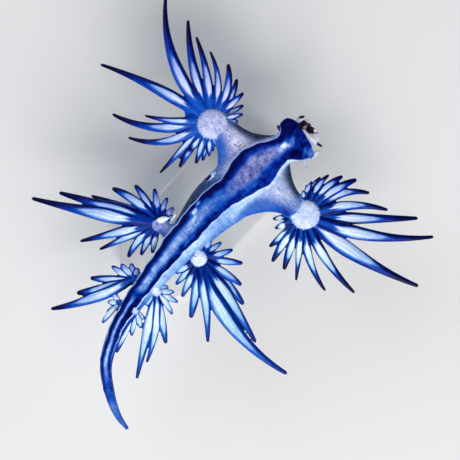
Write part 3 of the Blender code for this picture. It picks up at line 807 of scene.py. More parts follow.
def gather_forms(cerata):
    """All the forms of the flesh: body, arms, hubs, cerata, webs, head, feelers and papilla."""
    forms = Forms()
    forms.add("body", body_rings(0.15, 6))
    for name in ARMS:
        forms.add(f"arm {name}", arm_rings(name, 60, 72))
    for name, cluster in CLUSTERS.items():
        radius = cluster.disc[2]
        half = (radius, radius, radius * HUB_FLATNESS)
        hub = ball_rings(cluster.disc_middle(), half, rows=30, sides=120, cluster=cluster)
        forms.add(f"hub {name}", hub)
    for number, ceras in enumerate(cerata):
        forms.add(f"ceras {number}", ceras.rings(), (None, ceras.line[-1]))
    for one, other in zip(cerata, cerata[1:]):
        if one.cluster is other.cluster:
            forms.add("web", web_rings(one, other))
    level = UP * SOLE_Z
    t = np.linspace(0, 1, 24)
    for root, tip, width in SMALL_CERATA:
        path = level + np.array(root) + (np.array(tip) - np.array(root)) * t[:, None]
        widths = width * read_rows(SMALL_PROFILE, t)[:, 0]
        forms.add("small ceras", tube_rings(path, widths, 20, 0.7))
    turn = math.atan2(HEADING[0], -HEADING[1])
    forms.add("head", ball_rings(HEAD_MIDDLE, HEAD_HALF, turn, rows=40, sides=80))
    add_ring_form(forms, "lips", lip_rings())
    forms.add("flap", ball_rings(FLAP_MIDDLE, FLAP_HALF, turn))
    t = np.linspace(0, 1, 20)
    share = 1 - 0.25 * t - 0.25 * smooth_step(0.8, 1.0, t)
    for name, (*points, width) in FEELERS.items():
        path = curve(*(level + np.array(point) for point in points), t)
        forms.add(name, tube_rings(path, width * share, 18))
    forms.add("papilla", ball_rings(PAPILLA_MIDDLE, PAPILLA_HALF, PAPILLA_TURN, rows=20, sides=40))
    return forms


def fuse(forms, voxel):
    """One closed mesh round all the forms, its faces about one voxel wide."""
    mesh = bpy.data.meshes.new("forms")
    mesh.from_pydata(np.concatenate(forms.points).tolist(), [], forms.faces)
    obj = bpy.data.objects.new("forms", mesh)
    bpy.context.scene.collection.objects.link(obj)
    remesh = obj.modifiers.new("fuse", "REMESH")
    remesh.mode = "VOXEL"
    remesh.voxel_size = voxel
    graph = bpy.context.evaluated_depsgraph_get()
    fused = bpy.data.meshes.new_from_object(obj.evaluated_get(graph))
    bpy.data.objects.remove(obj)
    bpy.data.meshes.remove(mesh)
    return fused


def numbers(items, name, kind, width):
    """A property of many mesh elements as an array with a row for each."""
    found = np.empty(len(items) * width, kind)
    items.foreach_get(name, found)
    return found.reshape(-1, width)


def neighbour_mean(values, edges):
    """The mean of each point's neighbours along the edges."""
    count = np.bincount(edges.ravel(), minlength=len(values))
    ends = (edges[:, 0], edges[:, 1]), (edges[:, 1], edges[:, 0])
    columns = values.reshape(len(values), -1)
    total = np.zeros_like(columns)
    for here, there in ends:
        for c in range(columns.shape[1]):
            total[:, c] += np.bincount(here, columns[there, c], len(values))
    return (total / count[:, None]).reshape(values.shape)


def relax(points, edges, weight, rounds):
    """Draws each point towards its neighbours, by its weight."""
    for _ in range(rounds):
        points = points + weight[:, None] * (neighbour_mean(points, edges) - points)
    return points


def nearest_forms(points, forms):
    """The number of the form that each point of the skin comes from."""
    source = np.concatenate(forms.points)
    owners = np.concatenate(forms.owners)
    tree = KDTree(len(source))
    for i, point in enumerate(source):
        tree.insert(point, i)
    tree.balance()
    find = tree.find
    return owners[np.array([find(p)[1] for p in points.tolist()])]


def along_line(points, line):
    """Each point's nearest place on a line of points, as a number with a fraction."""
    step = np.gradient(line, axis=0)
    found = np.empty(len(points))
    chunk = 20000
    for start in range(0, len(points), chunk):
        part = points[start:start + chunk]
        away = ((part[:, None] - line[None]) ** 2).sum(2)
        i = away.argmin(1)
        share = ((part - line[i]) * step[i]).sum(1) / (step[i] ** 2).sum(1)
        found[start:start + chunk] = np.clip(i + np.clip(share, -0.6, 0.6), 0, len(line) - 1)
    return found


class BodyPlace:
    """Where each point lies on the body: how far along, and how far across to the right."""

    def __init__(self, points):
        at = np.arange(BODY[0][0] - 2.0, BODY[-1][0] + 0.1, 0.1)
        middle, across, _ = body_lines(at)
        straight = middle.copy()
        front = at < BODY[0][0]
        straight[front] += HEADING * (BODY[0][0] - at[front])[:, None]
        flat = straight * (1, 1, 0)
        place = along_line(points * (1, 1, 0), flat)
        spots = np.arange(len(at))
        self.at = np.interp(place, spots, at)
        away = points - read_columns(place, spots, straight)
        self.across = (away * read_columns(place, spots, across)).sum(1)
        _, _, sole, _, self.lean, self.depth, sunk = read_rows(BODY, self.at).T
        self.sole = sole + margin_wave(self.at, np.sign(self.across))
        self.share = self.across / np.maximum(self.sole, 0.1)
        self.below = SOLE_Z - sunk - points[:, 2]


# The fine streaks along the sole: how strong, how close across, how far they drift sideways, how
# fast that changes along the body, and where it starts.
SOLE_STREAKS = (
    (0.5, 8.0, 1.5, 0.9, 0.0),
    (0.3, 15.0, 2.0, 1.3, 1.0),
    (0.3, 29.0, 2.5, 2.1, 2.0),
)


def foot_paint(place):
    """The sole's tone, its silvery band and lilac cast, and where the sole is."""
    on_top = smooth_step(1.05, 0.75, place.below / edge_height(place.depth))
    on_top *= smooth_step(1.14, 1.04, np.abs(place.share))
    band_middle, band_half, bright = read_rows(BAND, place.at).T
    wander = 0.03 * np.sin(1.7 * place.at) + 0.02 * np.sin(3.9 * place.at + 1.0)
    streak = np.zeros(len(place.at))
    for strength, across, drift, along, phase in SOLE_STREAKS:
        streak += strength * np.sin(across * place.across + drift * np.sin(along * place.at + phase))
    off = np.abs(place.share - band_middle - wander) / band_half + 0.12 * streak
    band = smooth_step(1.55, 0.35, off)
    right_dark, left_dark = read_rows(DARK_SIDES, place.at).T
    dark = mix(right_dark, left_dark, smooth_step(0.1, -0.6, place.share))
    rear = smooth_step(6.0, 10.0, place.at)
    lilac = mix(0.45, 0.85, smooth_step(2.5, 4.5, place.at)) * smooth_step(0.40, 1.0, band)
    lilac = lilac * (1 - rear) * smooth_step(1.2, 2.4, place.at) * mix(0.8, 1.0, 0.5 + 0.5 * streak)
    tone = mix(dark, bright, band) + mix(0.02, 0.045, band) * streak

    # The spots have ragged edges, and the foot's rim is a thin pale line.
    for at, across, long, wide, spot_tone in SPOTS:
        away = np.hypot((place.at - at) / long, (place.across - across) / wide)
        away += 0.25 * np.sin(5 * place.at + 7 * place.across)
        spot = smooth_step(1.50, 0.35, away)
        tone = mix(tone, spot_tone, spot)
        lilac = lilac * (1 - spot)
    rim = smooth_step(0.17, 0.09, place.sole - np.abs(place.across))
    rim *= smooth_step(0.2, 1.4, place.at) * mix(0.9, 0.1, smooth_step(26, 32, place.at))
    return mix(tone, 0.95, rim), band, lilac * (1 - rim), on_top


# An arm's tones across it: the places from its tail side (-1) to its head side, and the tones,
# which fall towards the head side as painted shade.
ARM_PLACES = (-1.0, -0.75, -0.4, -0.1, 0.2, 0.5, 0.75, 1.0)
ARM_TONES = (0.60, 0.58, 0.66, 0.78, 0.84, 0.78, 0.58, 0.46)


def arm_paint(name, points):
    """The tone on an arm, and the places along it (0 to 1) and across it (-1 to 1, headward)."""
    root, neck, out, headward = arm_axes(name)
    along = np.clip((points - root) @ out / np.linalg.norm(neck - root), 0, 1)
    head_half, tail_half = arm_half(ARMS[name], along)
    across = (points - root) @ headward
    across = np.where(across > 0, across / head_half, across / tail_half)
    dusk = ARMS[name].dusk * smooth_step(-0.1, -0.6, across)
    # The tone falls towards the head side as painted shade, and near the hub it is darker, partly as
    # painted shade beside the hub.
    tone = np.interp(across, ARM_PLACES, ARM_TONES) - dusk - 0.20 * smooth_step(0.55, 1.0, along)
    return tone, along, across


# The reaches between which a ceras is small, and how much nearer to the hub the core of a small
# one starts, how much later it ends as a share of the reach, and how much broader it is.
SMALL_REACHES = (4.5, 2.0)
SMALL_START = 0.25
SMALL_END = 0.07
SMALL_LEAF = 0.25
SEAM_TONE = 0.12
# How broad a core is along its length, from its start (0) to its end (1), in half widths.
LEAF_PLACES = (-0.12, 0.0, 0.12, 0.32, 0.6, 0.82, 1.0, 1.1)
LEAF_SHARES = (0.0, 0.28, 0.50, 0.64, 0.60, 0.42, 0.12, 0.0)


def ceras_paint(ceras, points, seam):
    """Tone on one ceras: the blue web, the pale core with its dark edges, and the dark tip."""
    cluster, reach = ceras.cluster, ceras.reach
    across = ceras.place_across(points)
    out = np.linalg.norm((points - cluster.middle()) * (1, 1, 0), axis=1)
    small = smooth_step(*SMALL_REACHES, reach)
    bare, bare_per_reach = cluster.bare
    ragged = 0.22 * np.sin(9.0 * across + 5 * reach) + 0.16 * np.sin(17.0 * across + 11 * reach)

    # The core starts raggedly past the web and ends where the tip darkens.
    start = cluster.radius + bare + bare_per_reach * reach
    start = start - ceras.early - SMALL_START * small + ragged * min(reach / 8, 1.0)
    end = reach * (mix(0.90, cluster.end, smooth_step(2.0, 13.0, reach)) + SMALL_END * small)
    progress = (out - start) / np.maximum(end - start, 0.3)
    leaf = np.interp(progress, LEAF_PLACES, LEAF_SHARES) * ceras.core_share * cluster.leaf
    leaf = leaf * (1 + SMALL_LEAF * small)
    soft = mix(0.16, 0.34, smooth_step(0.3, -0.5, across))
    core = smooth_step(leaf + soft, leaf - soft, np.abs(across - ceras.core_shift - 0.04))
    core *= smooth_step(-0.12, 0.06, progress) * smooth_step(1.15, 0.80, progress)

    # Round it the web goes over into the darker blade, darkest at the tip and in the seams.
    groove = np.sin(13.0 * across + 1.5 * np.sin(1.7 * out + reach))
    tip = smooth_step(end, mix(end, reach, 0.85), out)
    web = cluster.web + cluster.streak * (smooth_step(0.75, 0.10, np.abs(across)) - 0.4)
    # The edges go darker towards the head side as painted shade.
    blade = mix(*cluster.blade, smooth_step(-0.75, 0.65, across))
    blade = blade - 0.04 * smooth_step(0.84, 1.0, np.abs(across))
    rest = mix(web, mix(blade, cluster.tip, tip), smooth_step(start - 0.6, start + 0.8, out))
    seam_share = seam * mix(0.3, 0.9, smooth_step(start - 0.4, start + 0.4, out))
    rest = mix(rest, SEAM_TONE, seam_share) + 0.03 * groove

    bright = mix(*cluster.bright, smooth_step(-40, 50, ceras.sweep))
    bright = bright - 0.18 * smooth_step(0.1, 1.0, progress) + 0.045 * groove
    return mix(rest, bright, core * (1 - seam)), tip


def claim_cerata(points, which, cerata):
    """The ceras that each point belongs to, and how near it is to the border with the next."""
    best = np.full(len(points), np.inf)
    second = best.copy()
    owner = which.copy()
    for number, ceras in enumerate(cerata):
        near = np.flatnonzero((np.abs(which - number) <= 2) & (which >= 0))
        share = ceras.closeness(points[near])
        closer = share < best[near]
        second[near] = np.where(closer, best[near], np.minimum(second[near], share))
        best[near] = np.where(closer, share, best[near])
        owner[near[closer]] = number
    return owner, smooth_step(0.30, 0.0, second - best)


# The right flank: distances along the back, its tones there, which are partly painted shade,
# and how deep the painted shade layer is there.
RIGHT_FLANK = (
    (7.5, 8.5, 10.0, 12.0, 14.3, 15.3, 17.2, 18.2),
    (0.72, 0.64, 0.54, 0.44, 0.44, 0.74, 0.74, 0.44),
    (0.10, 0.20, 0.60, 0.85, 0.85, 0.15, 0.15, 0.85),
)
# Where a painted highlight makes the left flank pale below the foot's edge: distances along the
# back, and how pale.
LEFT_HIGHLIGHT = (
    (7.0, 11.0, 13.0, 14.3, 16.0, 17.5, 19.5, 20.6, 22.5),
    (1.0, 0.15, 0.30, 0.90, 0.90, 0.40, 0.45, 0.90, 0.50),
)
# The named values that the skin's colours are mixed by: the place on the blue ramps, how icy
# rather than lavender, how mottled, and how far each of the other layers covers them.
PAINTS = (
    "tone", "tint", "grain", "pearl", "lilac", "shade", "silver", "lip", "mouth", "feeler", "freckle",
)
# The left flank's tone in front and behind, the tone of its painted highlight where it is
# palest, and the tail's.
LEFT_TONES = (0.73, 0.67)
HIGHLIGHT_TONE = 0.94
TAIL_TONE = 0.24
# The tints of the right and left flank, and of the sole in front and behind.
FLANK_TINTS = (0.75, 0.80)
SOLE_TINTS = (0.15, 0.45)
# How mottled each is: the flanks, the arms, the cerata, the hubs, and the sole's dark and pale
# parts.
FLANK_GRAIN = 0.55
ARM_GRAIN = 0.50
CERAS_GRAIN = 0.30
HUB_GRAIN = 0.55
SOLE_GRAINS = (0.35, 0.9)
# How much darker the free web is than the web on the cerata, and how much a ceras's tint turns
# with its sweep.
WEB_DARKER = 0.08
TINT_TURN = 0.35
# The tone that a hub's underside is drawn towards, and the share of its own tone that it keeps.
UNDER_HUB = (0.5, 0.3)
# The paints of the small plain forms.
SMALL_PAINTS = {
    "head": {"tone": 0.86, "tint": 0.25, "grain": 0.4},
    "lips": {"tone": 0.86, "tint": 0.25, "grain": 0.4},
    "small ceras": {"tone": 0.98, "tint": 0.55, "grain": 0.3},
    "flap": {"lip": 0.9, "feeler": 0.28},
    "tentacle_right": {"tone": 0.80, "tint": 0.2},
    "tentacle_left": {"tone": 0.80, "tint": 0.2},
    "rhinophore_right": {"feeler": 0.95, "silver": 0.0},
    "rhinophore_left": {"tone": 0.9, "tint": 0.7, "silver": 0.0},
    "papilla": {"tint": 0.6, "shade": 0.0},
}
# The tones of the papilla and of its pore with the painted shade there.
PORE_AND_SHADE_TONES = (0.90, 0.14)


class Surface:
    """The fused skin's points, the form that each comes from, and its place on the body."""

    def __init__(self, points, normals, edges, owners, forms):
        self.points, self.up, self.edges = points, normals[:, 2], edges
        self.names = np.array(forms.names)[owners]
        cerata = [int(name[6:]) if name.startswith("ceras ") else -1 for name in forms.names]
        self.cerata = np.array(cerata)[owners]
        self.place = BodyPlace(points)


def lay(coat, where, **values):
    """Gives the named paints new values where a mask is true."""
    for name, value in values.items():
        coat[name][where] = value


def cover(coat, share, **values):
    """Mixes the named paints towards new values, by a share for each point."""
    for name, value in values.items():
        coat[name] = mix(coat[name], value, share)


def paint_flanks(surface, coat):
    """The body's sides: icy on the left with pale catches of light, in shade on the right."""
    place = surface.place
    left = smooth_step(0.3, -0.3, place.across + 0.5 * place.lean)
    # The right flank's tones are a little darker than the left's own colour and darker still as
    # painted shade.
    tone = np.interp(place.at, *RIGHT_FLANK[:2])
    tone = mix(tone, mix(*LEFT_TONES, smooth_step(9, 13, place.at)), left)
    # A painted highlight pales the left flank just below the foot's edge; further below that edge the
    # left flank darkens.
    left_highlight = left * smooth_step(1.4, 0.2, place.below) * np.interp(place.at, *LEFT_HIGHLIGHT)
    tone = mix(tone, HIGHLIGHT_TONE, 0.8 * left_highlight) - 0.24 * left * smooth_step(0.4, 2.0, place.below)
    # A pearly painted highlight on the front of the flanks just below the foot's edge, stronger on
    # the right.
    highlight_span = smooth_step(1.5, 3.5, place.at) * smooth_step(9.0, 7.0, place.at)
    pearl = 0.8 * highlight_span * smooth_step(1.6, 0.4, place.below) * mix(1.0, 0.35, left)
    lay(
        coat, slice(None), grain=FLANK_GRAIN, tint=mix(*FLANK_TINTS, left),
        tone=mix(tone, TAIL_TONE, smooth_step(20, 27, place.at)),
        pearl=pearl * (surface.names == "body"),
        shade=(1 - left) * np.interp(place.at, *RIGHT_FLANK[::2]),
    )


def paint_arms(surface, coat):
    """The arms: pearly tops partly painted highlight; painted shade headward; freckled near the hub.
    """
    for name, spec in ARMS.items():
        on = surface.names == f"arm {name}"
        tone, along, across = arm_paint(name, surface.points[on])
        # The pale, pearly top is partly a painted highlight, strongest on the faces turned up.
        top = smooth_step(-0.55, 0.0, across) * smooth_step(0.85, 0.45, across)
        top *= smooth_step(0.0, 0.45, surface.up[on])
        freckle = smooth_step(-0.85, -0.5, across) * smooth_step(0.45, 0.2, across)
        lay(
            coat, on, tone=tone, tint=CLUSTERS[name].tint, grain=ARM_GRAIN,
            freckle=freckle * smooth_step(0.2, 0.5, along),
            pearl=spec.pearl * top * mix(1.0, 0.35, smooth_step(0.55, 1.0, along)),
            shade=spec.shade * smooth_step(0.42, 0.85, across),
        )


def soften_flesh(surface, coat):
    """Evens the paints out where the arms run into the body."""
    names = ("tone", "tint", "grain", "pearl", "shade")
    flesh = np.isin(surface.names, ("body", *(f"arm {name}" for name in ARMS)))
    soft = np.stack([coat[name] for name in names], axis=1)
    for _ in range(PAINT_ROUNDS):
        soft = np.where(flesh[:, None], neighbour_mean(soft, surface.edges), soft)
    coat.update(zip(names, soft.T.copy()))
    coat["shade"] *= flesh


def paint_foot(surface, coat):
    """The sole over the flanks' paints, and the silvery undersides."""
    place = surface.place
    tone, band, lilac, foot = foot_paint(place)
    foot = np.where(surface.names == "body", foot, 0.0)
    patchy = np.maximum(band, smooth_step(-0.2, -0.5, place.share))
    cover(
        coat, foot, tone=tone, tint=mix(*SOLE_TINTS, smooth_step(6, 14, place.at)),
        grain=mix(*SOLE_GRAINS, patchy),
    )
    coat["lilac"] = lilac * foot
    coat["silver"] = smooth_step(-0.25, -0.75, surface.up) * (1 - foot)
    coat["pearl"] *= 1 - foot
    coat["shade"] *= 1 - foot


def paint_cerata(surface, coat, cerata):
    """The webs between the roots, and each ceras."""
    clusters = list(CLUSTERS.values())
    hubs = np.array([cluster.middle()[:2] for cluster in clusters])
    looks = np.array([(cluster.web - WEB_DARKER, cluster.tint) for cluster in clusters])
    on = surface.names == "web"
    near = ((surface.points[on][:, None, :2] - hubs[None]) ** 2).sum(2).argmin(1)
    lay(coat, on, tone=looks[near, 0], tint=looks[near, 1])
    which, seam = claim_cerata(surface.points, surface.cerata, cerata)
    for number, ceras in enumerate(cerata):
        on = which == number
        if on.any():
            tone, tip = ceras_paint(ceras, surface.points[on], seam[on])
            tint = ceras.cluster.tint - TINT_TURN * math.sin(math.radians(ceras.sweep))
            lay(coat, on, tone=tone, tint=np.clip(tint, 0, 1), grain=CERAS_GRAIN)
            coat["silver"][on] *= 0.55 * (1 - tip)


def paint_hubs(surface, coat):
    """The white hubs, ragged at the rim and notched where the arm runs in."""
    for name, cluster in CLUSTERS.items():
        away = surface.points - cluster.disc_middle()
        out = np.hypot(away[:, 0], away[:, 1]) / cluster.disc[2]
        angle = np.arctan2(away[:, 1], away[:, 0])
        wave = rim_wave(cluster, angle)
        rim_radius = 0.94 + 0.8 * wave
        disc = smooth_step(rim_radius + 0.07, rim_radius - 0.04, out)
        disc *= smooth_step(-0.1, 0.25, surface.up)
        armward = -cluster.side * np.cos(angle) * out - cluster.notch
        armward = armward - 0.40 * np.abs(np.sin(angle) * out - 0.25)
        own = np.isin(surface.names, ("web", f"hub {name}", f"arm {name}")) | (out < 0.9)
        disc *= own * (1 - smooth_step(-0.06, 0.10, armward))
        ray = smooth_step(0.25, 0.95, out) * (1 - wave / cluster.rim)
        white = cluster.white - 0.9 * (cluster.rim - HUB_RIM) * ray
        cover(
            coat, disc, tone=white, tint=0.5 * cluster.tint, grain=HUB_GRAIN,
            pearl=cluster.blush,
        )
        coat["shade"] *= 1 - disc
        under = (surface.names == f"hub {name}") & (disc < 0.5)
        coat["tone"][under] = mix(UNDER_HUB[0], coat["tone"][under], UNDER_HUB[1])


def mouth_place(points):
    """Where points lie from the lips' middle: to the right, forwards and down, and outwards."""
    return [(points - MOUTH_MIDDLE) @ axis for axis in mouth_axes()]


def gape_place(x, y):
    """The first two of these from the middle of the opening, with its slant taken out."""
    x = x - GAPE_PLACE[0]
    return x, y - GAPE_PLACE[1] + GAPE_SLANT * x


def paint_mouth(surface, coat):
    """The pale lips, dark opening, pale fold across it, and a crease's painted shadow beside it."""
    x, y, z = mouth_place(surface.points)
    head = np.isin(surface.names, ("head", "lips"))
    inside = smooth_step(-1.0, -0.6, z)
    x_gape, y_gape = gape_place(x, y)
    dark = np.hypot(x_gape / GAPE_HALF[0], y_gape / GAPE_HALF[1])
    dark += 0.08 * np.cos(7 * np.arctan2(y_gape, x_gape))
    way = FOLD_ENDS[1] - FOLD_ENDS[0]
    flat = np.stack([x, y], axis=1) - FOLD_ENDS[0]
    away = flat - np.clip(flat @ way / (way @ way), 0, 1)[:, None] * way
    fold = smooth_step(1.3 * FOLD_HALF, 0.6 * FOLD_HALF, np.linalg.norm(away, axis=1)) * inside
    mouth = smooth_step(1.08, 0.90, dark) * inside * (1 - fold)
    left, slant = CREASE_SHADOW_PLACE
    first, last = CREASE_SHADOW_ENDS
    # A thin dark line of painted shadow where a crease runs beside the opening.
    crease_shadow = smooth_step(0.09, 0.04, np.abs(x + left + slant * y))
    crease_shadow *= smooth_step(first - 0.15, first, y) * smooth_step(last + 0.15, last, y)
    lip = (surface.names == "lips") * smooth_step(0.0, 0.15, z)
    coat["lip"] = np.maximum(lip, fold * head)
    # The mouth layer also carries the crease's painted shadow.
    coat["mouth"] = np.where(head, np.maximum(mouth, crease_shadow), 0.0)


def paint_small_forms(surface, coat):
    """The head's flesh, the feelers, the flap and the papilla."""
    for name, values in SMALL_PAINTS.items():
        lay(coat, surface.names == name, **values)
    for name in ("tentacle_right", "tentacle_left"):
        on = surface.names == name
        left_over = np.linalg.norm(surface.points[on] - (UP * SOLE_Z + FEELERS[name][2]), axis=1)
        dark = smooth_step(FEELER_DARK + FEELER_SOFT, FEELER_DARK - FEELER_SOFT, left_over)
        coat["feeler"][on] = dark
    on = surface.names == "papilla"
    # The dark pore, set towards one side of the papilla, is partly painted shade on that side.
    pore_and_shade = (surface.points[on] - PAPILLA_MIDDLE - PORE_AND_SHADE_SHIFT) / PORE_AND_SHADE_HALF
    coat["tone"][on] = mix(*PORE_AND_SHADE_TONES, smooth_step(1.15, 0.7, np.linalg.norm(pore_and_shade, axis=1)))


def paint(surface, cerata):
    """The named values from 0 to 1 that the skin's colours are mixed by, for every point."""
    coat = {name: np.zeros(len(surface.points)) for name in PAINTS}
    paint_flanks(surface, coat)
    paint_arms(surface, coat)
    soften_flesh(surface, coat)
    paint_foot(surface, coat)
    paint_cerata(surface, coat, cerata)
    paint_hubs(surface, coat)
    paint_mouth(surface, coat)
    paint_small_forms(surface, coat)
    return coat


def hollow_mouth(points, names):
    """Presses the mouth in behind the lips."""
    x, y, z = mouth_place(points)
    x, y = gape_place(x, y)
    ring = np.hypot(x / GAPE_HALF[0], y / GAPE_HALF[1])
    near = np.isin(names, ("head", "lips")) & (z > -0.9)
    press = np.where(near, smooth_step(0.85, 0.25, ring) * GAPE_DEPTH, 0.0)
    return points - mouth_axes()[2] * press[:, None]


def fillet_weight(points, normals, edges):
    """Where forms meet in a groove, spread a little way round it."""
    hollow = ((neighbour_mean(points, edges) - points) * normals).sum(1)
    weight = smooth_step(*GROOVE_DEPTHS, hollow)
    for _ in range(FILLET_SPREAD_ROUNDS):
        weight = np.maximum(weight, neighbour_mean(weight, edges) * FILLET_SPREAD)
    return np.clip(weight, 0, 1)


def make_skin(settings):
    """Builds the fused skin with its paint values and returns its object."""
    cerata = all_cerata()
    forms = gather_forms(cerata)
    mesh = fuse(forms, settings.grain_mm)
    points = numbers(mesh.vertices, "co", np.float32, 3).astype(float)
    edges = numbers(mesh.edges, "vertices", np.int32, 2)
    owners = nearest_forms(points, forms)
    names = np.array(forms.names)[owners]
    normals = numbers(mesh.vertices, "normal", np.float32, 3).astype(float)
    weight = fillet_weight(points, normals, edges)
    points = hollow_mouth(points, names)
    points = relax(points, edges, FILLET_PULL * weight, settings.fillet_rounds)
    points = relax(points, edges, np.full(len(points), EVENING_PULL), EVENING_ROUNDS)
    mesh.vertices.foreach_set("co", points.astype(np.float32).ravel())
    mesh.update()
    normals = numbers(mesh.vertices, "normal", np.float32, 3).astype(float)
    surface = Surface(points, normals, edges, owners, forms)
    for name, values in paint(surface, cerata).items():
        layer = mesh.attributes.new(name, "FLOAT", "POINT")
        layer.data.foreach_set("value", values.astype(np.float32))
    mesh.transform(Matrix.Scale(MM, 4))
    mesh.shade_smooth()
    mesh.name = "skin"
    skin = bpy.data.objects.new("skin", mesh)
    bpy.context.scene.collection.objects.link(skin)
    return skin


def linear(hex_colour):
    """An sRGB hex colour as the linear red, green, blue and alpha that shaders take."""
    values = [int(hex_colour[i:i + 2], 16) / 255 for i in (1, 3, 5)]
    return tuple(v / 12.92 if v <= 0.04045 else ((v + 0.055) / 1.055) ** 2.4 for v in values) + (1.0,)


def add_node(tree, kind, inputs=None, stops=(), **settings):
    """Adds a shader node with its settings, its inputs' values or links, and its ramp's stops."""
    node = tree.nodes.new(kind)
    for name, value in settings.items():
        setattr(node, name, value)
    for name, value in (inputs or {}).items():
        if isinstance(value, bpy.types.NodeSocket):
            tree.links.new(value, node.inputs[name])
        else:
            node.inputs[name].default_value = value
    for number, (place, colour) in enumerate(stops):
        if number >= len(node.color_ramp.elements):
            node.color_ramp.elements.new(place)
        node.color_ramp.elements[number].position = place
        node.color_ramp.elements[number].color = linear(colour)
    return node


def new_material(name, inputs_of):
    """A material of one Principled shader, whose inputs the given function works out."""
    made = bpy.data.materials.new(name)
    made.use_nodes = True
    tree = made.node_tree
    tree.nodes.clear()
    coords = add_node(tree, "ShaderNodeTexCoord").outputs["Object"]
    shader = add_node(tree, "ShaderNodeBsdfPrincipled", inputs_of(tree, coords))
    add_node(tree, "ShaderNodeOutputMaterial", {"Surface": shader.outputs["BSDF"]})
    return made


# The inputs and the output of a mix node that mixes colours.
SHARE, LOW, HIGH, MIXED = 0, 6, 7, 2

# The blues from their darkest to their palest, by tone: the warmer ones and the icy ones.
LAVENDER_RAMP = (
    (0.00, "#010112"), (0.16, "#02064E"), (0.30, "#052898"), (0.42, "#0C4EBC"),
    (0.56, "#3462BC"), (0.68, "#6C7EC8"), (0.84, "#A9BDFA"), (1.00, "#E4ECFF"),
)
ICE_RAMP = (
    (0.00, "#010114"), (0.16, "#020A4A"), (0.30, "#063090"), (0.42, "#0C52B4"),
    (0.56, "#3A70C2"), (0.68, "#6C9EE2"), (0.84, "#ACD6FC"), (1.00, "#F0FCFF"),
)
# The layers over the blues: the paint that places each, and its two mottled colours. The
# pearly layer is the hubs' own tint and partly a painted highlight on the arms and flanks; the
# shade layer is painted shade.
LAYERS = (
    ("pearl", "#A6ACDC", "#F6F0FA"),
    ("lilac", "#34408C", "#A0A0CC"),
    ("shade", "#1A2430", "#3A4650"),
    ("silver", "#8E9CB4", "#C9D2E0"),
    ("lip", "#C6CCE8", "#F6F0F4"),
    ("mouth", "#0E0618", "#3C1230"),
    ("feeler", "#120A10", "#3A2226"),
)


# The skin's noises: the size of each in millimetres, how detailed it is and how rough.
SKIN_NOISES = {
    "mottle": (0.55, 4.0, 0.6),
    "speck": (0.16, 3.0, 0.6),
    "pebble": (0.11, 2.0, 0.5),
    "fold": (0.80, 3.0, 0.5),
}
# The freckles' spacing in millimetres.
FRECKLE_SPACING = 0.27


def wet_skin_inputs(tree, coords):
    """Cast and glazed wet skin: fine mottling in the blues, small wet glints, soft folds."""
    settings = bpy.context.scene.seadragon
    value = {}
    for name in PAINTS:
        value[name] = add_node(tree, "ShaderNodeAttribute", attribute_name=name).outputs["Fac"]
    for name, (size, detail, roughness) in SKIN_NOISES.items():
        value[name] = add_node(
            tree, "ShaderNodeTexNoise",
            {"Vector": coords, "Scale": 1 / (size * MM), "Detail": detail, "Roughness": roughness},
        ).outputs["Fac"]

    # The tone, shifted by the mottling, is read off both blue ramps.
    shift = -0.5
    for name, weight in (("mottle", 0.6), ("speck", 0.4)):
        shift = add_node(
            tree, "ShaderNodeMath", {0: value[name], 1: weight, 2: shift}, operation="MULTIPLY_ADD",
        ).outputs[0]
    tone = add_node(
        tree, "ShaderNodeMath", {0: shift, 1: value["grain"], 2: value["tone"]},
        operation="MULTIPLY_ADD", use_clamp=True,
    ).outputs[0]
    lavender = add_node(tree, "ShaderNodeValToRGB", {"Fac": tone}, LAVENDER_RAMP)
    ice = add_node(tree, "ShaderNodeValToRGB", {"Fac": tone}, ICE_RAMP)
    colour = add_node(
        tree, "ShaderNodeMix",
        {SHARE: value["tint"], LOW: lavender.outputs["Color"], HIGH: ice.outputs["Color"]},
        data_type="RGBA",
    ).outputs[MIXED]

    # The other layers lie over them, each mottled from its darker to its paler colour.
    fleck = add_node(
        tree, "ShaderNodeMapRange", {"Value": shift, "From Min": -0.13, "From Max": 0.13},
    ).outputs["Result"]
    for name, low, high in LAYERS:
        layer = add_node(
            tree, "ShaderNodeMix", {SHARE: fleck, LOW: linear(low), HIGH: linear(high)},
            data_type="RGBA",
        ).outputs[MIXED]
        colour = add_node(
            tree, "ShaderNodeMix", {SHARE: value[name], LOW: colour, HIGH: layer}, data_type="RGBA",
        ).outputs[MIXED]

    # Dark freckles in loose patches on the arms.
    cell = add_node(
        tree, "ShaderNodeTexVoronoi", {"Vector": coords, "Scale": 1 / (FRECKLE_SPACING * MM)},
    ).outputs["Distance"]
    dots = value["freckle"]
    for source, low, high in ((cell, 0.48, 0.16), (value["mottle"], 0.46, 0.52)):
        here = add_node(
            tree, "ShaderNodeMapRange", {"Value": source, "From Min": low, "From Max": high},
        ).outputs["Result"]
        dots = add_node(tree, "ShaderNodeMath", {0: dots, 1: here}, operation="MULTIPLY").outputs[0]
    colour = add_node(
        tree, "ShaderNodeMix", {SHARE: dots, LOW: colour, HIGH: linear(settings.freckle_colour)},
        data_type="RGBA",
    ).outputs[MIXED]

    height = add_node(
        tree, "ShaderNodeMath", {0: value["pebble"], 1: 0.5, 2: value["fold"]},
        operation="MULTIPLY_ADD",
    ).outputs[0]
    bump = add_node(
        tree, "ShaderNodeBump", {"Height": height, "Strength": 0.5, "Distance": 0.04 * MM},
    )
    rough = add_node(
        tree, "ShaderNodeMapRange", {"Value": value["mottle"], "To Min": 0.22, "To Max": 0.34},
    )
    return {
        "Base Color": colour,
        "Normal": bump.outputs["Normal"],
        "Roughness": rough.outputs["Result"],
        "IOR": 1.38,
        "Specular IOR Level": 0.10,
        "Coat Weight": settings.glaze,
        "Coat Roughness": 0.08,
        "Coat IOR": 1.36,
        "Subsurface Weight": 0.05,
        "Subsurface Radius": (0.4, 0.6, 1.0),
        "Subsurface Scale": 0.3 * MM,
    }


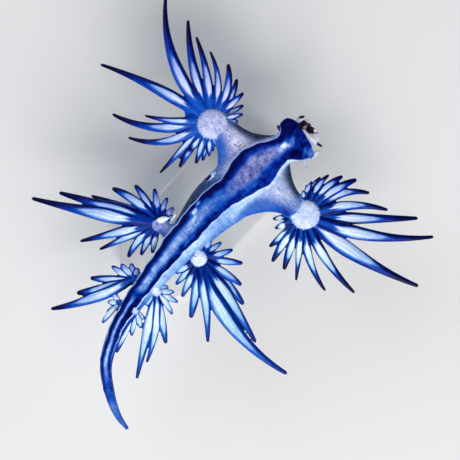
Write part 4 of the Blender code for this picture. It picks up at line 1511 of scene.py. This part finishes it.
def opal_acrylic_inputs(tree, coords):
    """Opal acrylic, sawn and flame-polished: milky, with a soft satin gloss."""
    cloud = add_node(
        tree, "ShaderNodeTexNoise", {"Vector": coords, "Scale": 1 / (3.0 * MM), "Detail": 3.0},
    )
    tint = add_node(
        tree, "ShaderNodeValToRGB", {"Fac": cloud.outputs["Fac"]},
        ((0.3, "#C9CDD0"), (0.7, "#D3D6D8")),
    )
    fine = add_node(
        tree, "ShaderNodeTexNoise", {"Vector": coords, "Scale": 1 / (0.2 * MM), "Detail": 2.0},
    )
    rough = add_node(
        tree, "ShaderNodeMapRange",
        {"Value": fine.outputs["Fac"], "To Min": 0.48, "To Max": 0.62},
    )
    return {
        "Base Color": tint.outputs["Color"],
        "Roughness": rough.outputs["Result"],
        "IOR": 1.49,
        "Subsurface Weight": 0.15,
        "Subsurface Scale": 1.0 * MM,
    }


def satin_steel_inputs(tree, coords):
    """Stainless steel rod, drawn and fine-ground: a grey metal with faint rings round it."""
    round_rod, along_rod = 1 / (5.0 * MM), 1 / (0.11 * MM)
    stretched = add_node(
        tree, "ShaderNodeMapping", {"Vector": coords, "Scale": (round_rod, round_rod, along_rod)},
    )
    rings = add_node(
        tree, "ShaderNodeTexNoise",
        {"Vector": stretched.outputs["Vector"], "Scale": 1.0, "Detail": 3.0},
    )
    tint = add_node(
        tree, "ShaderNodeValToRGB", {"Fac": rings.outputs["Fac"]},
        ((0.3, "#BCBEC0"), (0.7, "#C9CBCC")),
    )
    rough = add_node(
        tree, "ShaderNodeMapRange",
        {"Value": rings.outputs["Fac"], "To Min": 0.26, "To Max": 0.33},
    )
    return {
        "Base Color": tint.outputs["Color"],
        "Roughness": rough.outputs["Result"],
        "Metallic": 1.0,
    }


def matt_board_inputs(tree, coords):
    """Plain matt board: pale, with a barely seen unevenness."""
    pale = linear(bpy.context.scene.seadragon.floor_colour)
    cloud = add_node(
        tree, "ShaderNodeTexNoise", {"Vector": coords, "Scale": 1 / (40 * MM), "Detail": 2.0},
    )
    uneven = tuple(0.96 * c for c in pale[:3]) + (1.0,)
    shade = add_node(
        tree, "ShaderNodeMix", {SHARE: cloud.outputs["Fac"], LOW: pale, HIGH: uneven},
        data_type="RGBA",
    )
    return {"Base Color": shade.outputs[MIXED], "Roughness": 0.9}


class SEADRAGON_PG_settings(bpy.types.PropertyGroup):
    """Sizes and colours that a user would change."""

    grain_mm: bpy.props.FloatProperty(
        name="Skin grain", description="Size of the skin's mesh, in millimetres",
        default=0.075, min=0.05, max=0.3,
    )
    fillet_rounds: bpy.props.IntProperty(
        name="Fillets", description="How softly the forms run into each other",
        default=10, min=0, max=60,
    )
    glaze: bpy.props.FloatProperty(
        name="Glaze", description="How much clear glaze lies over the skin",
        default=0.05, min=0.0, max=1.0, subtype="FACTOR",
    )
    freckle_colour: bpy.props.StringProperty(
        name="Freckle colour", description="The arms' dark freckles as sRGB hex", default="#4A5AA4",
    )
    floor_colour: bpy.props.StringProperty(
        name="Floor colour", description="The floor's colour as sRGB hex", default="#DFE1E3",
    )
    key_power: bpy.props.FloatProperty(
        name="Key light", description="Power of the large soft light",
        default=2.3, min=0.0, subtype="POWER", unit="POWER",
    )
    fill_power: bpy.props.FloatProperty(
        name="Fill light", description="Power of the broad soft light from the far side",
        default=1.1, min=0.0, subtype="POWER", unit="POWER",
    )


class SEADRAGON_OT_skin(bpy.types.Operator):
    """Build the one skin that covers the body, arms, cerata and head"""

    bl_idname = "seadragon.skin"
    bl_label = "Build Skin"

    def execute(self, context):
        skin = make_skin(context.scene.seadragon)
        skin.data.materials.clear()
        skin.data.materials.append(new_material("wet_blue_skin", wet_skin_inputs))
        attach(skin, BODY_NODE)
        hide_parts(*FLESH_NODES)
        return {"FINISHED"}


class SEADRAGON_OT_stand(bpy.types.Operator):
    """Give the stand's base and rods their finishes"""

    bl_idname = "seadragon.stand"
    bl_label = "Finish Stand"

    def execute(self, context):
        finishes = {"stand_base": new_material("opal_acrylic", opal_acrylic_inputs)}
        steel = new_material("satin_steel", satin_steel_inputs)
        finishes.update({"stand_rod_front": steel, "stand_rod_rear": steel})
        for name, made in finishes.items():
            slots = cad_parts[name].material_slots
            if not slots:
                raise RuntimeError(f"{name} has no material slot")
            for slot in slots:
                slot.material = made
        return {"FINISHED"}


def aim(obj, target):
    """Turns a light to face a point."""
    away = Vector(target) - obj.location
    obj.rotation_euler = away.to_track_quat("-Z", "Y").to_euler()


def add_light(name, place_mm, size_mm, power, colour):
    """A square soft light that faces the model."""
    data = bpy.data.lights.new(name, "AREA")
    data.size = size_mm * MM
    data.energy = power
    data.color = linear(colour)[:3]
    light = bpy.data.objects.new(name, data)
    light.location = Vector(place_mm) * MM
    aim(light, Vector((VIEW_MIDDLE[0], VIEW_MIDDLE[1], SOLE_Z)) * MM)
    bpy.context.scene.collection.objects.link(light)


def add_sky():
    """A faint even light from all round, a little bluish."""
    world = bpy.data.worlds.new("studio")
    world.use_nodes = True
    background = world.node_tree.nodes["Background"]
    background.inputs["Color"].default_value = linear(SKY_COLOUR)
    background.inputs["Strength"].default_value = SKY_STRENGTH
    bpy.context.scene.world = world


def add_camera(middle, right, up):
    """The camera, straight above the middle of the view."""
    data = bpy.data.cameras.new("camera")
    data.sensor_width = 36.0
    data.lens = data.sensor_width * VIEW_HEIGHT / VIEW_FIELD
    data.clip_start = 1 * MM
    camera = bpy.data.objects.new("camera", data)
    back = Vector((0.0, 0.0, 1.0))
    turn = Matrix((right, up, back)).transposed().to_4x4()
    camera.matrix_world = Matrix.Translation((middle + back * VIEW_HEIGHT) * MM) @ turn
    bpy.context.scene.collection.objects.link(camera)
    bpy.context.scene.camera = camera


class SEADRAGON_OT_stage(bpy.types.Operator):
    """Set the pale floor, the soft lights and the camera"""

    bl_idname = "seadragon.stage"
    bl_label = "Set Stage"

    def execute(self, context):
        settings = context.scene.seadragon
        bpy.ops.mesh.primitive_plane_add(size=FLOOR_SIZE * MM)
        floor = context.object
        floor.name = "floor"
        floor.data.materials.append(new_material("matt_board", matt_board_inputs))
        up = Vector((*VIEW_UP, 0.0))
        right = up.cross(Vector((0.0, 0.0, 1.0)))
        middle = Vector((*VIEW_MIDDLE, SOLE_Z))
        powers = {"key": settings.key_power, "fill": settings.fill_power}
        for name, ((across, along, high), size, colour) in LIGHTS.items():
            place = middle + right * across + up * along + Vector((0.0, 0.0, high))
            add_light(name, place, size, powers[name], colour)
        add_sky()
        add_camera(middle, right, up)
        context.scene.view_settings.view_transform = "Standard"
        return {"FINISHED"}


class SEADRAGON_PT_panel(bpy.types.Panel):
    """The steps of the model, in order"""

    bl_idname = "SEADRAGON_PT_panel"
    bl_label = "Sea Dragon"
    bl_space_type = "VIEW_3D"
    bl_region_type = "UI"
    bl_category = "Sea Dragon"

    def draw(self, context):
        for name in SEADRAGON_PG_settings.__annotations__:
            self.layout.prop(context.scene.seadragon, name)
        for operator in OPERATORS:
            self.layout.operator(operator.bl_idname)


OPERATORS = (SEADRAGON_OT_skin, SEADRAGON_OT_stand, SEADRAGON_OT_stage)
CLASSES = (SEADRAGON_PG_settings, *OPERATORS, SEADRAGON_PT_panel)


def register():
    for made in CLASSES:
        bpy.utils.register_class(made)
    bpy.types.Scene.seadragon = bpy.props.PointerProperty(type=SEADRAGON_PG_settings)


def unregister():
    del bpy.types.Scene.seadragon
    for made in reversed(CLASSES):
        bpy.utils.unregister_class(made)


def main():
    register()
    bpy.ops.seadragon.stage()
    bpy.ops.seadragon.stand()
    bpy.ops.seadragon.skin()


if __name__ == "__main__":
    main()
